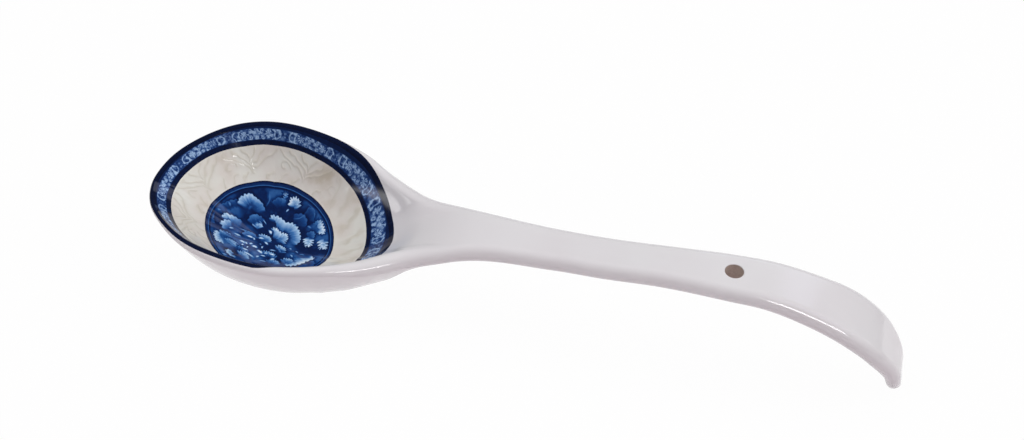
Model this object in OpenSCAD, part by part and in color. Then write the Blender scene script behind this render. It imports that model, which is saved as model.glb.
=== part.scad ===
// Long-handled porcelain soup spoon with a blue-and-white bowl.
// Millimetres. The spoon lies as on a table: the table is z = 0, and the bowl's ground
// base and the handle's hooked end both stand on it. x runs from the bowl's tip
// (negative) to the hooked end (positive), and the origin is the middle of the base.
// The shapes are worked out from the medallion's centre and moved by on_base at the end.

/* [Bowl] */
// Distance from the medallion's centre to the middle of the lip at the tip
tip_reach = 34.4; // [31:0.2:39]
// Half of the bowl's width, to the middle of the lip
bowl_half = 29; // [26:0.1:32]
// Height of the middle of the lip at the tip
tip_height = 23; // [21:0.1:25]
// Height of the middle of the lip at the sides
side_height = 26.4; // [25.2:0.1:27.8]
// Height of the middle of the lip at its low place beside the neck
dip_height = 22.9; // [22.2:0.1:24.4]
// Height of the bowl's floor at the medallion's centre
floor_height = 6.6; // [5.6:0.1:7.4]
// How far the floor falls toward the handle, as a slope
floor_slope = 0.115; // [0.06:0.005:0.15]
// Radius of the rounded lip at the tip
tip_lip_r = 0.7; // [0.6:0.1:1.2]
// Radius of the rounded lip along the sides
lip_r = 1.5; // [1.2:0.1:1.8]
// Distance from the medallion's centre to the base's centre, toward the handle
base_reach = 14.8; // [12:0.1:17]
// Depth ground off the underside to give the flat base
base_grind = 1.2; // [0.8:0.1:1.6]

/* [Neck] */
// Distance from the medallion's centre to the crease where the bowl's wall meets the handle's top
crease_reach = 41.5; // [40:0.5:44]
// Height of the porcelain's top face at the crease
crease_height = 22; // [21.2:0.1:23.4]
// How far the crease bends back at its ends, over half of the bowl's width
crease_bow = 31; // [20:1:40]
// Softness of the crease, as the height over which the wall turns into the top
crease_soft = 4; // [2:0.2:6]
// Distance from the medallion's centre to the end of the neck, where the handle starts
neck_reach = 56; // [54:0.5:59]
// Height of the middle of the handle where it starts
neck_height = 25.4; // [24.8:0.1:26.2]
// Width of the handle where it starts
neck_w = 20.4; // [19:0.2:21.6]
// How fast the handle narrows on each side where it starts, as a slope
neck_taper = 0.28; // [0.16:0.02:0.3]
// How fast the handle climbs where it starts, as a slope
neck_slope = 0.24; // [0.1:0.02:0.26]

/* [Handle] */
// Thickness of the handle
handle_t = 5.8; // [5:0.1:6.6]
// Width of the handle at its waist
waist_w = 14.4; // [13:0.1:16]
// Width of the handle's broad end
blade_w = 20.2; // [18:0.1:23]
// Distance from the medallion's centre to the handle's end
handle_reach = 187.5; // [178:0.5:196]
// Length of the rounded end, measured along the handle
round_len = 22; // [16:0.5:26]
// Steepness of the hooked end, in degrees below level
hook_angle = 62; // [55:1:70]
// Share of the handle's thickness that is left at its end
slim_share = 0.6; // [0.5:0.05:1]
// How pointed the rounded end is, from an oval at 0.5 upward
point_power = 0.6; // [0.5:0.02:0.66]

/* [Hanging hole] */
// Diameter of the hanging hole
hole_d = 5.4; // [4.5:0.1:7]
// Distance from the medallion's centre to the hole
hole_reach = 135.3; // [131:0.1:140]
// Height of the middle of the handle at the hole, its highest place
hole_height = 30; // [29:0.1:31]

/* [Print] */
// Thickness of the printed layers, let into the porcelain
print_t = 0.3; // [0.2:0.05:0.4]
// Diameter of the flower medallion
medal_d = 37.6; // [35:0.1:40]
// Length of the pale relief band's outer edge
relief_len = 57; // [54:0.1:60]
// Width of the blue border at the bowl's sides, seen from above, to the middle of the lip
border_side = 3.8; // [3:0.1:5]
// Reach of the blue print toward the handle
print_reach = 37; // [36:0.1:39.5]
// Half width of the oval that the print's handle side follows, as a share of the bowl's
print_spread_share = 1.092; // [1.06:0.002:1.14]
// Softness of the corner where the print's edge leaves the lip
print_soft = 2; // [1:0.1:3]
// How far the dark edge line goes over the lip, in degrees of its round
wrap_angle = 96; // [90:1:120]
// Width of the dark edge line
line_w = 2.1; // [1.2:0.1:2.6]

/* [Hidden] */

// Shapes of the rim's front half, from the tip: along as a share of tip_reach, across as
// a share of bowl_half, rise from tip_height to side_height.
front_shares = [[0.982, 0.157, 0.1], [0.932, 0.332, 0.3], [0.734, 0.648, 0.72],
    [0.494, 0.864, 0.93], [0.18, 0.985, 0.985]];
// Shapes of its back half: along as a share of neck_reach, across from the neck's half
// width to bowl_half, rise from dip_height to side_height.
back_shares = [[0.142, 0.98, 0.73], [0.397, 0.761, 0.46], [0.559, 0.51, -0.11], [0.785, 0.164, 0.02]];
// Angles of the lip's inner side, in degrees from level, at each rim point from tip to neck.
lip_angles = [16, 19, 30, 48, 58, 64, 66, 60, 50, 28, 0];
// Angles of the inner wall where it meets the rim, or the crease at the neck.
wall_angles = [16, 20, 31, 48, 58, 64, 64, 60, 53, 44, 46];
// Angles of the outer wall where it meets the lip.
under_angles = [30, 32, 38, 50, 61, 62, 64, 67, 64, 56, 15];
// Where the lip swells from the bowl's radius to the handle's, as shares of neck_reach.
swell_shares = [0.3, 0.74];
// Where the lip turns square to the handle's start, as shares of neck_reach.
turn_shares = [0.75, 1];
// Where it thins toward the tip, as shares of tip_reach.
thin_shares = [0.2, 0.95];
// The handle from its start to its end: along as a share of its length, swell as a share
// of the step from waist to blade, height as a share of hole_height.
arm_shares = [[0.22, -0.02, 0.909], [0.33, -0.05, 0.927], [0.455, -0.01, 0.974]];
hole_swell_share = 0.34;
blade_shares = [[0.68, 0.44, 0.998], [0.773, 0.68, 0.92], [0.871, 0.975, 0.762],
    [0.935, 0.8, 0.559], [0.976, 0.59, 0.332]];
edge_share = 0.95;
// Power of the oval that the print's handle side follows.
print_power = 1.73;

neck_half = neck_w / 2 - handle_t / 2;
print_half = bowl_half * print_spread_share;
relief_half = bowl_half - border_side;
handle_r = handle_t / 2;
overrun = handle_t;
lip_end_room = neck_reach - crease_reach;
crease_room = lip_end_room / 2;
steps = 3;
joint_steps = 6;
medal_rows = 3;
relief_rows = 3;
border_rows = 3;
line_rows = 1;
plain_rows = 7;
lip_rows = 6;
under_rows = 9;
arm_rows = 30;
cap_rows = 12;
side_facets = 8;
top_facets = 3;

function mix(a, b, t) = a + (b - a) * t;
function eased(t) = t * t * (3 - 2 * t);
function clamped(t) = max(0, min(1, t));
function flat(p) = [p.x, p.y];
function unit(v) = v / norm(v);

// Smooth curve through points, its tangents weighted by chord length.
function chord(pts, i) = norm(pts[i + 1] - pts[i]);
function inner_tangent(pts, i) = let (a = chord(pts, i - 1), b = chord(pts, i))
    ((pts[i + 1] - pts[i]) * a / b + (pts[i] - pts[i - 1]) * b / a) / (a + b);
function tangents(pts, first, last) = [for (i = [0 : len(pts) - 1])
    i == 0 ? first : i == len(pts) - 1 ? last : inner_tangent(pts, i)];
function blend(a, b, ta, tb, t) = let (u = 1 - t)
    a * u * u * (1 + 2 * t) + ta * t * u * u + b * t * t * (3 - 2 * t) - tb * t * t * u;
function curve(pts, tans, i, t) = let (c = chord(pts, i))
    blend(pts[i], pts[i + 1], tans[i] * c, tans[i + 1] * c, t);
function curve_slope(pts, tans, i, t) =
    let (c = chord(pts, i), d = pts[i + 1] - pts[i], u = 1 - t)
    d * 6 * t * u + tans[i] * c * u * (1 - 3 * t) - tans[i + 1] * c * t * (2 - 3 * t);

// Rim, middle of the lip, from the tip to the neck's end, on the +y side.
rim = concat(
    [[-tip_reach, 0, tip_height]],
    [for (s = front_shares)
        [-s[0] * tip_reach, s[1] * bowl_half, mix(tip_height, side_height, s[2])]],
    [for (s = back_shares)
        [s[0] * neck_reach, mix(neck_half, bowl_half, s[1]), mix(dip_height, side_height, s[2])]],
    [[neck_reach, neck_half, neck_height]]);
neck_way = unit([1, -neck_taper, neck_slope]);
rim_tangents = tangents(rim, [0, 1, 0], neck_way);
rim_spans = len(rim) - 1;

function ramp(v, from_to) = eased(clamped((v - from_to[0]) / (from_to[1] - from_to[0])));
function lip_radius(x) = x < 0
    ? mix(lip_r, tip_lip_r, ramp(-x / tip_reach, thin_shares))
    : mix(lip_r, handle_r, ramp(x / neck_reach, swell_shares));

// A column is one ray of the bowl's surface, from the medallion's centre over the lip to
// the base: [middle of lip, outward plan direction, lip radius, lean of lip's inner side,
// lean of inner wall, lean of outer wall, 1 on the neck's end face].
function rim_column(i, t) =
    let (m = curve(rim, rim_tangents, i, t),
         g = curve_slope(rim, rim_tangents, i, t),
         out = unit(mix(unit([-g.y, g.x]), [0, 1], ramp(m.x / neck_reach, turn_shares))))
    [m, out, lip_radius(m.x), mix(lip_angles[i], lip_angles[i + 1], t),
     mix(wall_angles[i], wall_angles[i + 1], t), mix(under_angles[i], under_angles[i + 1], t), 0];
function end_column(share) =
    [[neck_reach, neck_half * share, neck_height], [0, 1], handle_r, 0,
     wall_angles[rim_spans], under_angles[rim_spans], 1];
function mirrored(c) = [[c[0].x, -c[0].y, c[0].z], [c[1].x, -c[1].y], c[2], c[3], c[4], c[5], c[6]];

half_columns = [for (i = [0 : rim_spans - 1], k = [0 : steps - 1]) rim_column(i, k / steps)];
corner = [rim[rim_spans], [0, 1], handle_r, 0, wall_angles[rim_spans], under_angles[rim_spans], 0];
columns = concat(
    half_columns,
    [corner],
    [for (k = [1 : joint_steps - 1]) end_column(1 - 2 * k / joint_steps)],
    [mirrored(corner)],
    [for (k = [len(half_columns) - 1 : -1 : 1]) mirrored(half_columns[k])]);
n_col = len(columns);

// Where the inner wall meets the lip, and where the lip meets the outer wall.
function lip_point(c, angle, r) = let (m = c[0], o = c[1])
    [m.x + o.x * r * cos(angle), m.y + o.y * r * cos(angle), m.z + r * sin(angle)];
function top_point(c) = c[6] == 1 ? [c[0].x, c[0].y, c[0].z + handle_r] : lip_point(c, 90 + c[3], c[2]);
function under_point(c) = c[6] == 1 ? [c[0].x, c[0].y, c[0].z - handle_r] : lip_point(c, c[5] - 90, c[2]);

// Measures of each column: [ray direction, reach of the inner wall, reach of the crease,
// height at the crease, height at the rim, lean there, lip length, stretch of the wall,
// share of the neck's shape]. The crease bends in plan like a bow; a column that meets the
// rim first has none.
function soft_min(a, b, k) = let (h = clamped((1 + (b - a) / k) / 2)) mix(b, a, h) - k * h * (1 - h);
function bow_run(dir) = let (k = crease_bow / pow(bowl_half, 2) * crease_reach)
    2 * crease_reach / (dir.x + sqrt(dir.x * dir.x + 4 * k * dir.y * dir.y));
function measures(c) =
    let (top = top_point(c),
         reach = norm(flat(top)),
         dir = flat(top) / reach,
         bow = dir.x > 0 ? soft_min(reach, bow_run(dir), crease_soft) : reach,
         share = ramp((reach - bow) / crease_room, [0, 1]),
         bow_z = mix(top.z - tan(c[4]) * (reach - bow), crease_height, share),
         stretch = 1 / cos(c[4]),
         sweep = c[6] == 1 ? handle_t : c[2] * (180 + c[3] - c[5]) * PI / 180)
    [dir, reach, bow, bow_z, top.z, c[4], sweep / stretch, stretch, share];
facts = [for (c = columns) measures(c)];

// Step over which a wall's slope is taken, as a share of its reach.
slope_share = 0.005;

// Height of the inner surface at a plan distance along a column: the wall up to the
// crease, then the neck's top, with the crease between them rounded.
function inner_height(f, d) =
    let (past = d - f[2],
         room = f[1] - f[2],
         bend = f[8] * ((f[4] - f[3]) / room - neck_slope),
         start = (f[4] - f[3]) / room + bend,
         soft = crease_soft * f[8],
         t = past / room,
         bare = past <= 0
            ? blend(floor_height, f[3], -floor_slope * f[0].x * f[2], tan(f[5]) * f[2], d / f[2])
            : mix(f[3], f[4], t) + bend * room * t * (1 - t))
    abs(past) < soft ? bare - (tan(f[5]) - start) * pow(soft - abs(past), 2) / soft / 4 : bare;
function inner_slope(f, d) = let (h = f[2] * slope_share, a = max(0, min(d, f[1]) - h), b = a + h)
    (inner_height(f, b) - inner_height(f, a)) / h;

// Point of the top surface of a column at a run from the centre, sunk by a depth. Past
// the wall's reach the run goes on over the lip, in lengths divided by the wall's stretch.
function skin(i, run, depth) =
    let (c = columns[i], f = facts[i])
    run <= f[1]
    ? let (s = inner_slope(f, max(run, f[2] * slope_share)), n = depth / sqrt(1 + s * s))
        [f[0].x * (run + s * n), f[0].y * (run + s * n), inner_height(f, run) - n]
    : c[6] == 1
    ? [neck_reach, c[0].y, c[0].z + handle_r - (run - f[1]) * f[7]]
    : lip_point(c, 90 + c[3] - (run - f[1]) * f[7] / c[2] * 180 / PI, c[2] - depth);

// Runs of the print's edges on each column.
function oval_run(dir, a, b, p) = 1 / pow(pow(abs(dir.x) / a, p) + pow(abs(dir.y) / b, p), 1 / p);
medal_run = medal_d / 2;
function relief_run(i) = oval_run(facts[i][0], relief_len / 2, relief_half, 2);
function wrap_run(i) = facts[i][1] + columns[i][2] * wrap_angle * PI / 180 / facts[i][7];
function print_run(i) = facts[i][0].x < 0 ? wrap_run(i)
    : soft_min(wrap_run(i), oval_run(facts[i][0], print_reach, print_half, print_power), print_soft);
function line_run(i) = print_run(i) - line_w / facts[i][7];
function lip_end(i) = facts[i][1] + facts[i][6];

medal_runs = [for (i = [0 : n_col - 1]) [for (k = [1 : medal_rows]) medal_run * k / medal_rows]];
relief_runs = [for (i = [0 : n_col - 1])
    [for (k = [0 : relief_rows]) mix(medal_run, relief_run(i), k / relief_rows)]];
border_runs = [for (i = [0 : n_col - 1])
    [for (k = [0 : border_rows]) mix(relief_run(i), line_run(i), k / border_rows)]];
line_runs = [for (i = [0 : n_col - 1])
    [for (k = [0 : line_rows]) mix(line_run(i), print_run(i), k / line_rows)]];

// Runs of the bare porcelain past the print, to the lip's lower end. Where the print
// ends on the lip they are even; where it ends well before the rim, one lies on the rim.
function plain_runs(i) =
    let (a = print_run(i), f = facts[i], z = lip_end(i), n = plain_rows + lip_rows,
         share = eased(clamped((f[1] - a) / lip_end_room)))
    [for (k = [1 : n]) let (even = mix(a, z, k / n), past = (k - plain_rows) / lip_rows)
        mix(even, past <= 0 ? mix(a, f[1], k / plain_rows) : mix(f[1], z, past), share)];

// Outer wall, from the lip down to the base's middle.
base_middle = [base_reach, 0, -base_grind];
function under_skin(i, share) =
    let (c = columns[i],
         b = skin(i, lip_end(i), 0),
         d = flat(b) - flat(base_middle),
         p = mix(flat(b), flat(base_middle), share))
    [p.x, p.y, blend(base_middle.z, b.z, 0, norm(d) * tan(c[5]), 1 - share)];

// Rings of points, one point from each column.
function ring(runs, k, depth) = [for (i = [0 : n_col - 1]) skin(i, runs[i][k], depth)];
function rings(runs, first, last, depth) =
    [for (k = [first : last >= first ? 1 : -1 : last]) ring(runs, k, depth)];
function joined(lists) = [for (l = lists) for (p = l) p];

// Two triangles of a cell between ring r and ring s, columns c and d of n.
function cell(r, s, c, d, n, other) = other
    ? [[r * n + c, s * n + c, r * n + d], [r * n + d, s * n + c, s * n + d]]
    : [[r * n + c, s * n + c, s * n + d], [r * n + c, s * n + d, r * n + d]];
function belt(r, s, n, other) = joined([for (c = [0 : n - 1]) cell(r, s, c, (c + 1) % n, n, other)]);

module on_base() {
    translate([-base_reach, 0, 0]) children();
}

// Closed ring-shaped layer: its top rings outward, then its bottom rings inward.
module print_ring(runs, rows) {
    pts = joined(concat(rings(runs, 0, rows, 0), rings(runs, rows, 0, print_t)));
    last = 2 * rows + 1;
    faces = joined(concat(
        [for (r = [0 : rows - 1]) belt(r, r + 1, n_col, false)],
        [for (r = [rows : last - 1]) belt(r, r + 1, n_col, true)],
        [belt(last, 0, n_col, false)]));
    polyhedron(pts, faces);
}

module medallion() {
    top = rings(medal_runs, 0, medal_rows - 1, 0);
    under = rings(medal_runs, medal_rows - 1, 0, print_t);
    n = 2 * medal_rows;
    pts = concat(joined(concat(top, under)), [skin(0, 0, 0), [0, 0, floor_height - print_t]]);
    faces = concat(
        [for (c = [0 : n_col - 1]) [n * n_col, c, (c + 1) % n_col]],
        joined([for (r = [0 : medal_rows - 2]) belt(r, r + 1, n_col, false)]),
        joined([for (r = [medal_rows - 1 : n - 2]) belt(r, r + 1, n_col, true)]),
        [for (c = [0 : n_col - 1])
            [n * n_col + 1, (n - 1) * n_col + (c + 1) % n_col, (n - 1) * n_col + c]]);
    color("#12357a") on_base() polyhedron(pts, faces);
}

module relief_band() {
    color("#d3d1c9") on_base() print_ring(relief_runs, relief_rows);
}

module border_band() {
    color("#1c3f86") on_base() print_ring(border_runs, border_rows);
}

module edge_line() {
    color("#0b1738") on_base() print_ring(line_runs, line_rows);
}

module bowl_body() {
    sunk = concat(
        rings(medal_runs, 0, medal_rows - 1, print_t),
        rings(relief_runs, 1, relief_rows, print_t),
        rings(border_runs, 1, border_rows, print_t),
        rings(line_runs, 1, line_rows, print_t));
    bare = [for (i = [0 : n_col - 1]) plain_runs(i)];
    open = concat(rings(line_runs, line_rows, line_rows, 0), rings(bare, 0, plain_rows + lip_rows - 1, 0));
    under = [for (k = [1 : under_rows - 1]) [for (i = [0 : n_col - 1]) under_skin(i, k / under_rows)]];
    all = concat(sunk, open, under);
    n = len(all);
    pts = concat(joined(all), [[0, 0, floor_height - print_t], base_middle]);
    faces = concat(
        [for (c = [0 : n_col - 1]) [n * n_col, c, (c + 1) % n_col]],
        joined([for (r = [0 : n - 2]) belt(r, r + 1, n_col, false)]),
        [for (c = [0 : n_col - 1])
            [n * n_col + 1, (n - 1) * n_col + (c + 1) % n_col, (n - 1) * n_col + c]]);
    polyhedron(pts, faces);
}

module bowl() {
    color("#e2dde0") on_base() difference() {
        bowl_body();
        translate([base_reach, 0, -overrun])
            linear_extrude(overrun) square(2 * bowl_half, center = true);
    }
}

// Handle: [x, half width, height] at each shape point.
handle_len = handle_reach - neck_reach;
end_r = handle_r * slim_share;
end_height = end_r * (1 - sin(hook_angle));
function arm_point(s) =
    [neck_reach + s[0] * handle_len, mix(waist_w, blade_w, s[1]) / 2, s[2] * hole_height];
handle_pts = concat(
    [[neck_reach, neck_w / 2, neck_height]],
    [for (s = arm_shares) arm_point(s)],
    [[hole_reach, mix(waist_w, blade_w, hole_swell_share) / 2, hole_height]],
    [for (s = blade_shares) arm_point(s)],
    [[handle_reach, blade_w / 2, end_height]]);
handle_tangents = tangents(handle_pts, neck_way, [cos(hook_angle), 0, -sin(hook_angle)]);
path_steps = 12;
path = concat(
    [for (i = [0 : len(handle_pts) - 2], k = [0 : path_steps - 1])
        curve(handle_pts, handle_tangents, i, k / path_steps)],
    [handle_pts[len(handle_pts) - 1]]);
function path_step(i) = i + 1 < len(path)
    ? norm([path[i + 1].x - path[i].x, path[i + 1].z - path[i].z]) : 0;
run_at = [for (i = 0, s = 0; i < len(path); s = s + path_step(i), i = i + 1) s];
path_x = [for (i = [0 : len(path) - 1]) [run_at[i], path[i].x]];
path_w = [for (i = [0 : len(path) - 1]) [run_at[i], path[i].y]];
path_z = [for (i = [0 : len(path) - 1]) [run_at[i], path[i].z]];
path_len = run_at[len(path) - 1];
cap_start = path_len - round_len;

function path_dir(s) = let (h = handle_r / 2, a = max(0, s - h), b = min(path_len, s + h))
    s == 0 ? [1, 0] : unit([lookup(b, path_x) - lookup(a, path_x), lookup(b, path_z) - lookup(a, path_z)]);
function cap_share(s) = clamped((s - cap_start) / round_len);
function half_width(s) = lookup(s, path_w) * pow(1 - pow(cap_share(s), 2), point_power);
function half_thick(s) = min(edge_share * half_width(s), mix(handle_r, end_r, pow(cap_share(s), 2))
    * sqrt(1 - pow(clamped((s - path_len + end_r) / end_r), 2)));

// One cross section with flat faces and round edges, [across, up] points.
function section(a, b) = concat(
    [for (k = [0 : side_facets]) let (t = 90 - 180 * k / side_facets) [a - b + b * cos(t), b * sin(t)]],
    [for (k = [1 : top_facets - 1]) [(a - b) * (1 - 2 * k / top_facets), -b]],
    [for (k = [0 : side_facets]) let (t = 270 - 180 * k / side_facets) [b - a + b * cos(t), b * sin(t)]],
    [for (k = [1 : top_facets - 1]) [(a - b) * (2 * k / top_facets - 1), b]]);
function placed(s) = let (d = path_dir(s), x = lookup(s, path_x), z = lookup(s, path_z))
    [for (q = section(half_width(s), half_thick(s))) [x - d[1] * q[1], -q[0], z + d[0] * q[1]]];

module handle_body() {
    stops = concat(
        [for (k = [0 : arm_rows - 1]) cap_start * k / arm_rows],
        [for (k = [0 : cap_rows - 1]) cap_start + round_len * sin(90 * k / cap_rows)]);
    rows = [for (s = stops) placed(s)];
    m = len(rows[0]);
    n = len(rows);
    pts = concat(joined(rows), [[handle_reach, 0, end_height], [neck_reach, 0, neck_height]]);
    faces = concat(
        [for (c = [0 : m - 1]) [n * m + 1, c, (c + 1) % m]],
        joined([for (r = [0 : n - 2]) belt(r, r + 1, m, false)]),
        [for (c = [0 : m - 1]) [n * m, (n - 1) * m + (c + 1) % m, (n - 1) * m + c]]);
    polyhedron(pts, faces);
}

module handle() {
    color("#e2dde0") on_base() difference() {
        handle_body();
        translate([hole_reach, 0, hole_height - overrun])
            cylinder(h = 2 * overrun, d = hole_d, $fn = 64);
    }
}

bowl();
handle();
medallion();
relief_band();
border_band();
edge_line();
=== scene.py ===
"""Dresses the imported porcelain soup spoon: glazed body, painted bowl, pale floor and soft light."""

import logging
import math
from dataclasses import dataclass, field
from enum import Enum, IntEnum

import bpy
import numpy as np
from mathutils import Matrix, Quaternion, Vector

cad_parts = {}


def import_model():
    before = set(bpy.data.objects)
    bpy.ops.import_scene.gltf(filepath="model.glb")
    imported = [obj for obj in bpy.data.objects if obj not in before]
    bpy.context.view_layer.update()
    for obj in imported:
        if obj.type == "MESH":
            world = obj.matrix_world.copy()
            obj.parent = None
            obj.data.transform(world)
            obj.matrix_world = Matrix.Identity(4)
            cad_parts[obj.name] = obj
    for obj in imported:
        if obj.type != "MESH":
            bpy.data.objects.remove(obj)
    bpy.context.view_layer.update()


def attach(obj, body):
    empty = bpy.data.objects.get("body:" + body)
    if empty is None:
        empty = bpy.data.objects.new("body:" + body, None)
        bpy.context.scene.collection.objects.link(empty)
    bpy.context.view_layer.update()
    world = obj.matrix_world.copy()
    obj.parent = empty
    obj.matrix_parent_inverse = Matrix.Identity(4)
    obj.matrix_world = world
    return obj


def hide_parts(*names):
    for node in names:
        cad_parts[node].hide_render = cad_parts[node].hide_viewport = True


LOG = logging.getLogger("soup_spoon")
MM = 0.001
Array = np.ndarray


class Slot(Enum):
    """Names of the kinds of surface, one for each; the script does not use them."""

    PORCELAIN = "porcelain"
    MEDALLION = "medallion_print"
    RELIEF = "relief_band"
    BORDER = "border_print"
    EDGE = "edge_line"


class Face(IntEnum):
    """Places of the porcelain body's finishes in its list of materials."""

    GLAZED = 0
    GROUND = 1
    BORE = 2


# Numbers and curves


def mix(start: Array, end: Array, share: Array) -> Array:
    """Return the value that lies at a share of the way from start to end."""
    return start + (end - start) * share


def ramp(value: Array, start: float, end: float) -> Array:
    """Return an eased 0 to 1 rise of a value between two places, level at both ends."""
    share = np.clip((np.asarray(value, float) - start) / (end - start), 0.0, 1.0)
    return share * share * (3.0 - 2.0 * share)


def hermite(start: Array, end: Array, leaving: Array, arriving: Array, share: Array) -> Array:
    """Return points of a cubic between two ends with given tangents.

    Args:
        start: Value at share 0.
        end: Value at share 1.
        leaving: Tangent at the start.
        arriving: Tangent at the end.
        share: Places along the cubic.

    Returns:
        The cubic's values at those places.
    """
    rest = 1.0 - share
    return (start * rest * rest * (1 + 2 * share) + leaving * share * rest * rest
            + end * share * share * (3 - 2 * share) - arriving * share * share * rest)


def unit(vector: Array) -> Array:
    """Return vectors scaled to length one along their last axis."""
    return vector / (np.linalg.norm(vector, axis=-1, keepdims=True) + 1e-12)


@dataclass
class SmoothPath:
    """Smooth curve through a few design points.

    Args:
        points: Design points, one row each.
        first: Unit tangent at the first point.
        last: Unit tangent at the last point.
    """

    points: Array
    first: Array
    last: Array
    tangents: Array = field(init=False)
    chords: Array = field(init=False)

    def __post_init__(self) -> None:
        """Work out the tangent at each design point."""
        steps = np.diff(self.points, axis=0)
        self.chords = np.linalg.norm(steps, axis=1)
        before = self.chords[:-1, None]
        after = self.chords[1:, None]
        self.tangents = np.zeros_like(self.points)
        self.tangents[0] = self.first
        self.tangents[-1] = self.last
        weighed = steps[1:] * before / after + steps[:-1] * after / before
        self.tangents[1:-1] = weighed / (before + after)

    def at(self, place: Array) -> tuple[Array, Array]:
        """Return points and slopes at places counted in spans.

        Args:
            place: Numbers from 0 to the count of spans.

        Returns:
            The points and the curve's slopes there.
        """
        span = np.minimum(place.astype(int), len(self.chords) - 1)
        share = (place - span)[:, None]
        chord = self.chords[span][:, None]
        start, end = self.points[span], self.points[span + 1]
        leaving, arriving = self.tangents[span] * chord, self.tangents[span + 1] * chord
        rest = 1.0 - share
        slope = ((end - start) * 6 * share * rest + leaving * rest * (1 - 3 * share)
                 - arriving * share * (2 - 3 * share))
        return hermite(start, end, leaving, arriving, share), slope


# Meshes


class MeshDraft:
    """Points and faces of one piece, in millimetres, before they become an object."""

    def __init__(self) -> None:
        """Start with nothing."""
        self.points: list[Array] = []
        self.faces: list[Array] = []
        self.kinds: list[Array] = []
        self.count = 0

    def add_points(self, points: Array) -> Array:
        """Add points.

        Args:
            points: A grid of points of any shape, with x, y and z along its last axis.

        Returns:
            Their numbers, in the shape of the grid.
        """
        flat = np.asarray(points, float).reshape(-1, 3)
        numbers = np.arange(self.count, self.count + len(flat))
        self.points.append(flat)
        self.count += len(flat)
        return numbers.reshape(np.asarray(points).shape[:-1])

    def add_cells(self, grid: Array, keep: Array | None = None, flip: bool = False,
                  closed: bool = True, kind: int = Face.GLAZED) -> None:
        """Add the four-sided faces between the rows and columns of a grid of numbers.

        Args:
            grid: Point numbers, rows by columns.
            keep: Which cells to add, or None for all.
            flip: Turn the faces over.
            closed: Join the last column to the first.
            kind: Material place of the faces.
        """
        after = np.roll(grid, -1, axis=1)
        low, high, low_next, high_next = grid[:-1], grid[1:], after[:-1], after[1:]
        cells = np.stack([low, high, high_next, low_next], axis=-1)
        if not closed:
            cells = cells[:, :-1]
        if flip:
            cells = cells[..., ::-1]
        chosen = cells.reshape(-1, 4) if keep is None else cells[keep]
        self.faces.append(chosen)
        self.kinds.append(np.full(len(chosen), kind))

    def add_fan(self, ring: Array, centre: int, flip: bool = False,
                kind: int = Face.GLAZED) -> None:
        """Add triangles from a closed ring of points to one point.

        Args:
            ring: Point numbers of the ring.
            centre: Number of the middle point.
            flip: Turn the faces over.
            kind: Material place of the faces.
        """
        after = np.roll(ring, -1)
        middle = np.full(len(ring), centre)
        faces = np.stack([middle, ring, after], axis=-1)
        if flip:
            faces = faces[:, ::-1]
        self.faces.append(faces)
        self.kinds.append(np.full(len(faces), kind))

    def build(self, name: str, shift: float) -> bpy.types.Object:
        """Make the object, moved along x and turned from millimetres to metres.

        Args:
            name: Name of the object and its mesh.
            shift: Millimetres to add to x.

        Returns:
            The new object, linked to the scene.
        """
        points = (np.concatenate(self.points) + np.array([shift, 0.0, 0.0])) * MM
        polygons = [row for group in self.faces for row in group.tolist()]
        mesh = bpy.data.meshes.new(name)
        mesh.from_pydata(points.tolist(), [], polygons)
        mesh.polygons.foreach_set("material_index", np.concatenate(self.kinds).astype(np.int32))
        mesh.polygons.foreach_set("use_smooth", np.ones(len(polygons), bool))
        mesh.update()
        piece = bpy.data.objects.new(name, mesh)
        bpy.context.scene.collection.objects.link(piece)
        return piece


def set_normals(piece: bpy.types.Object, numbers: Array, normals: Array) -> None:
    """Set the shading normals of some points and leave the others as they are.

    Args:
        piece: The object.
        numbers: Numbers of the points.
        normals: Their normals.
    """
    mesh = piece.data
    own = np.empty(len(mesh.vertices) * 3)
    mesh.vertex_normals.foreach_get("vector", own)
    own = own.reshape(-1, 3)
    own[numbers.ravel()] = normals.reshape(-1, 3)
    mesh.normals_split_custom_set_from_vertices(own.tolist())


# The bowl's surface


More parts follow.
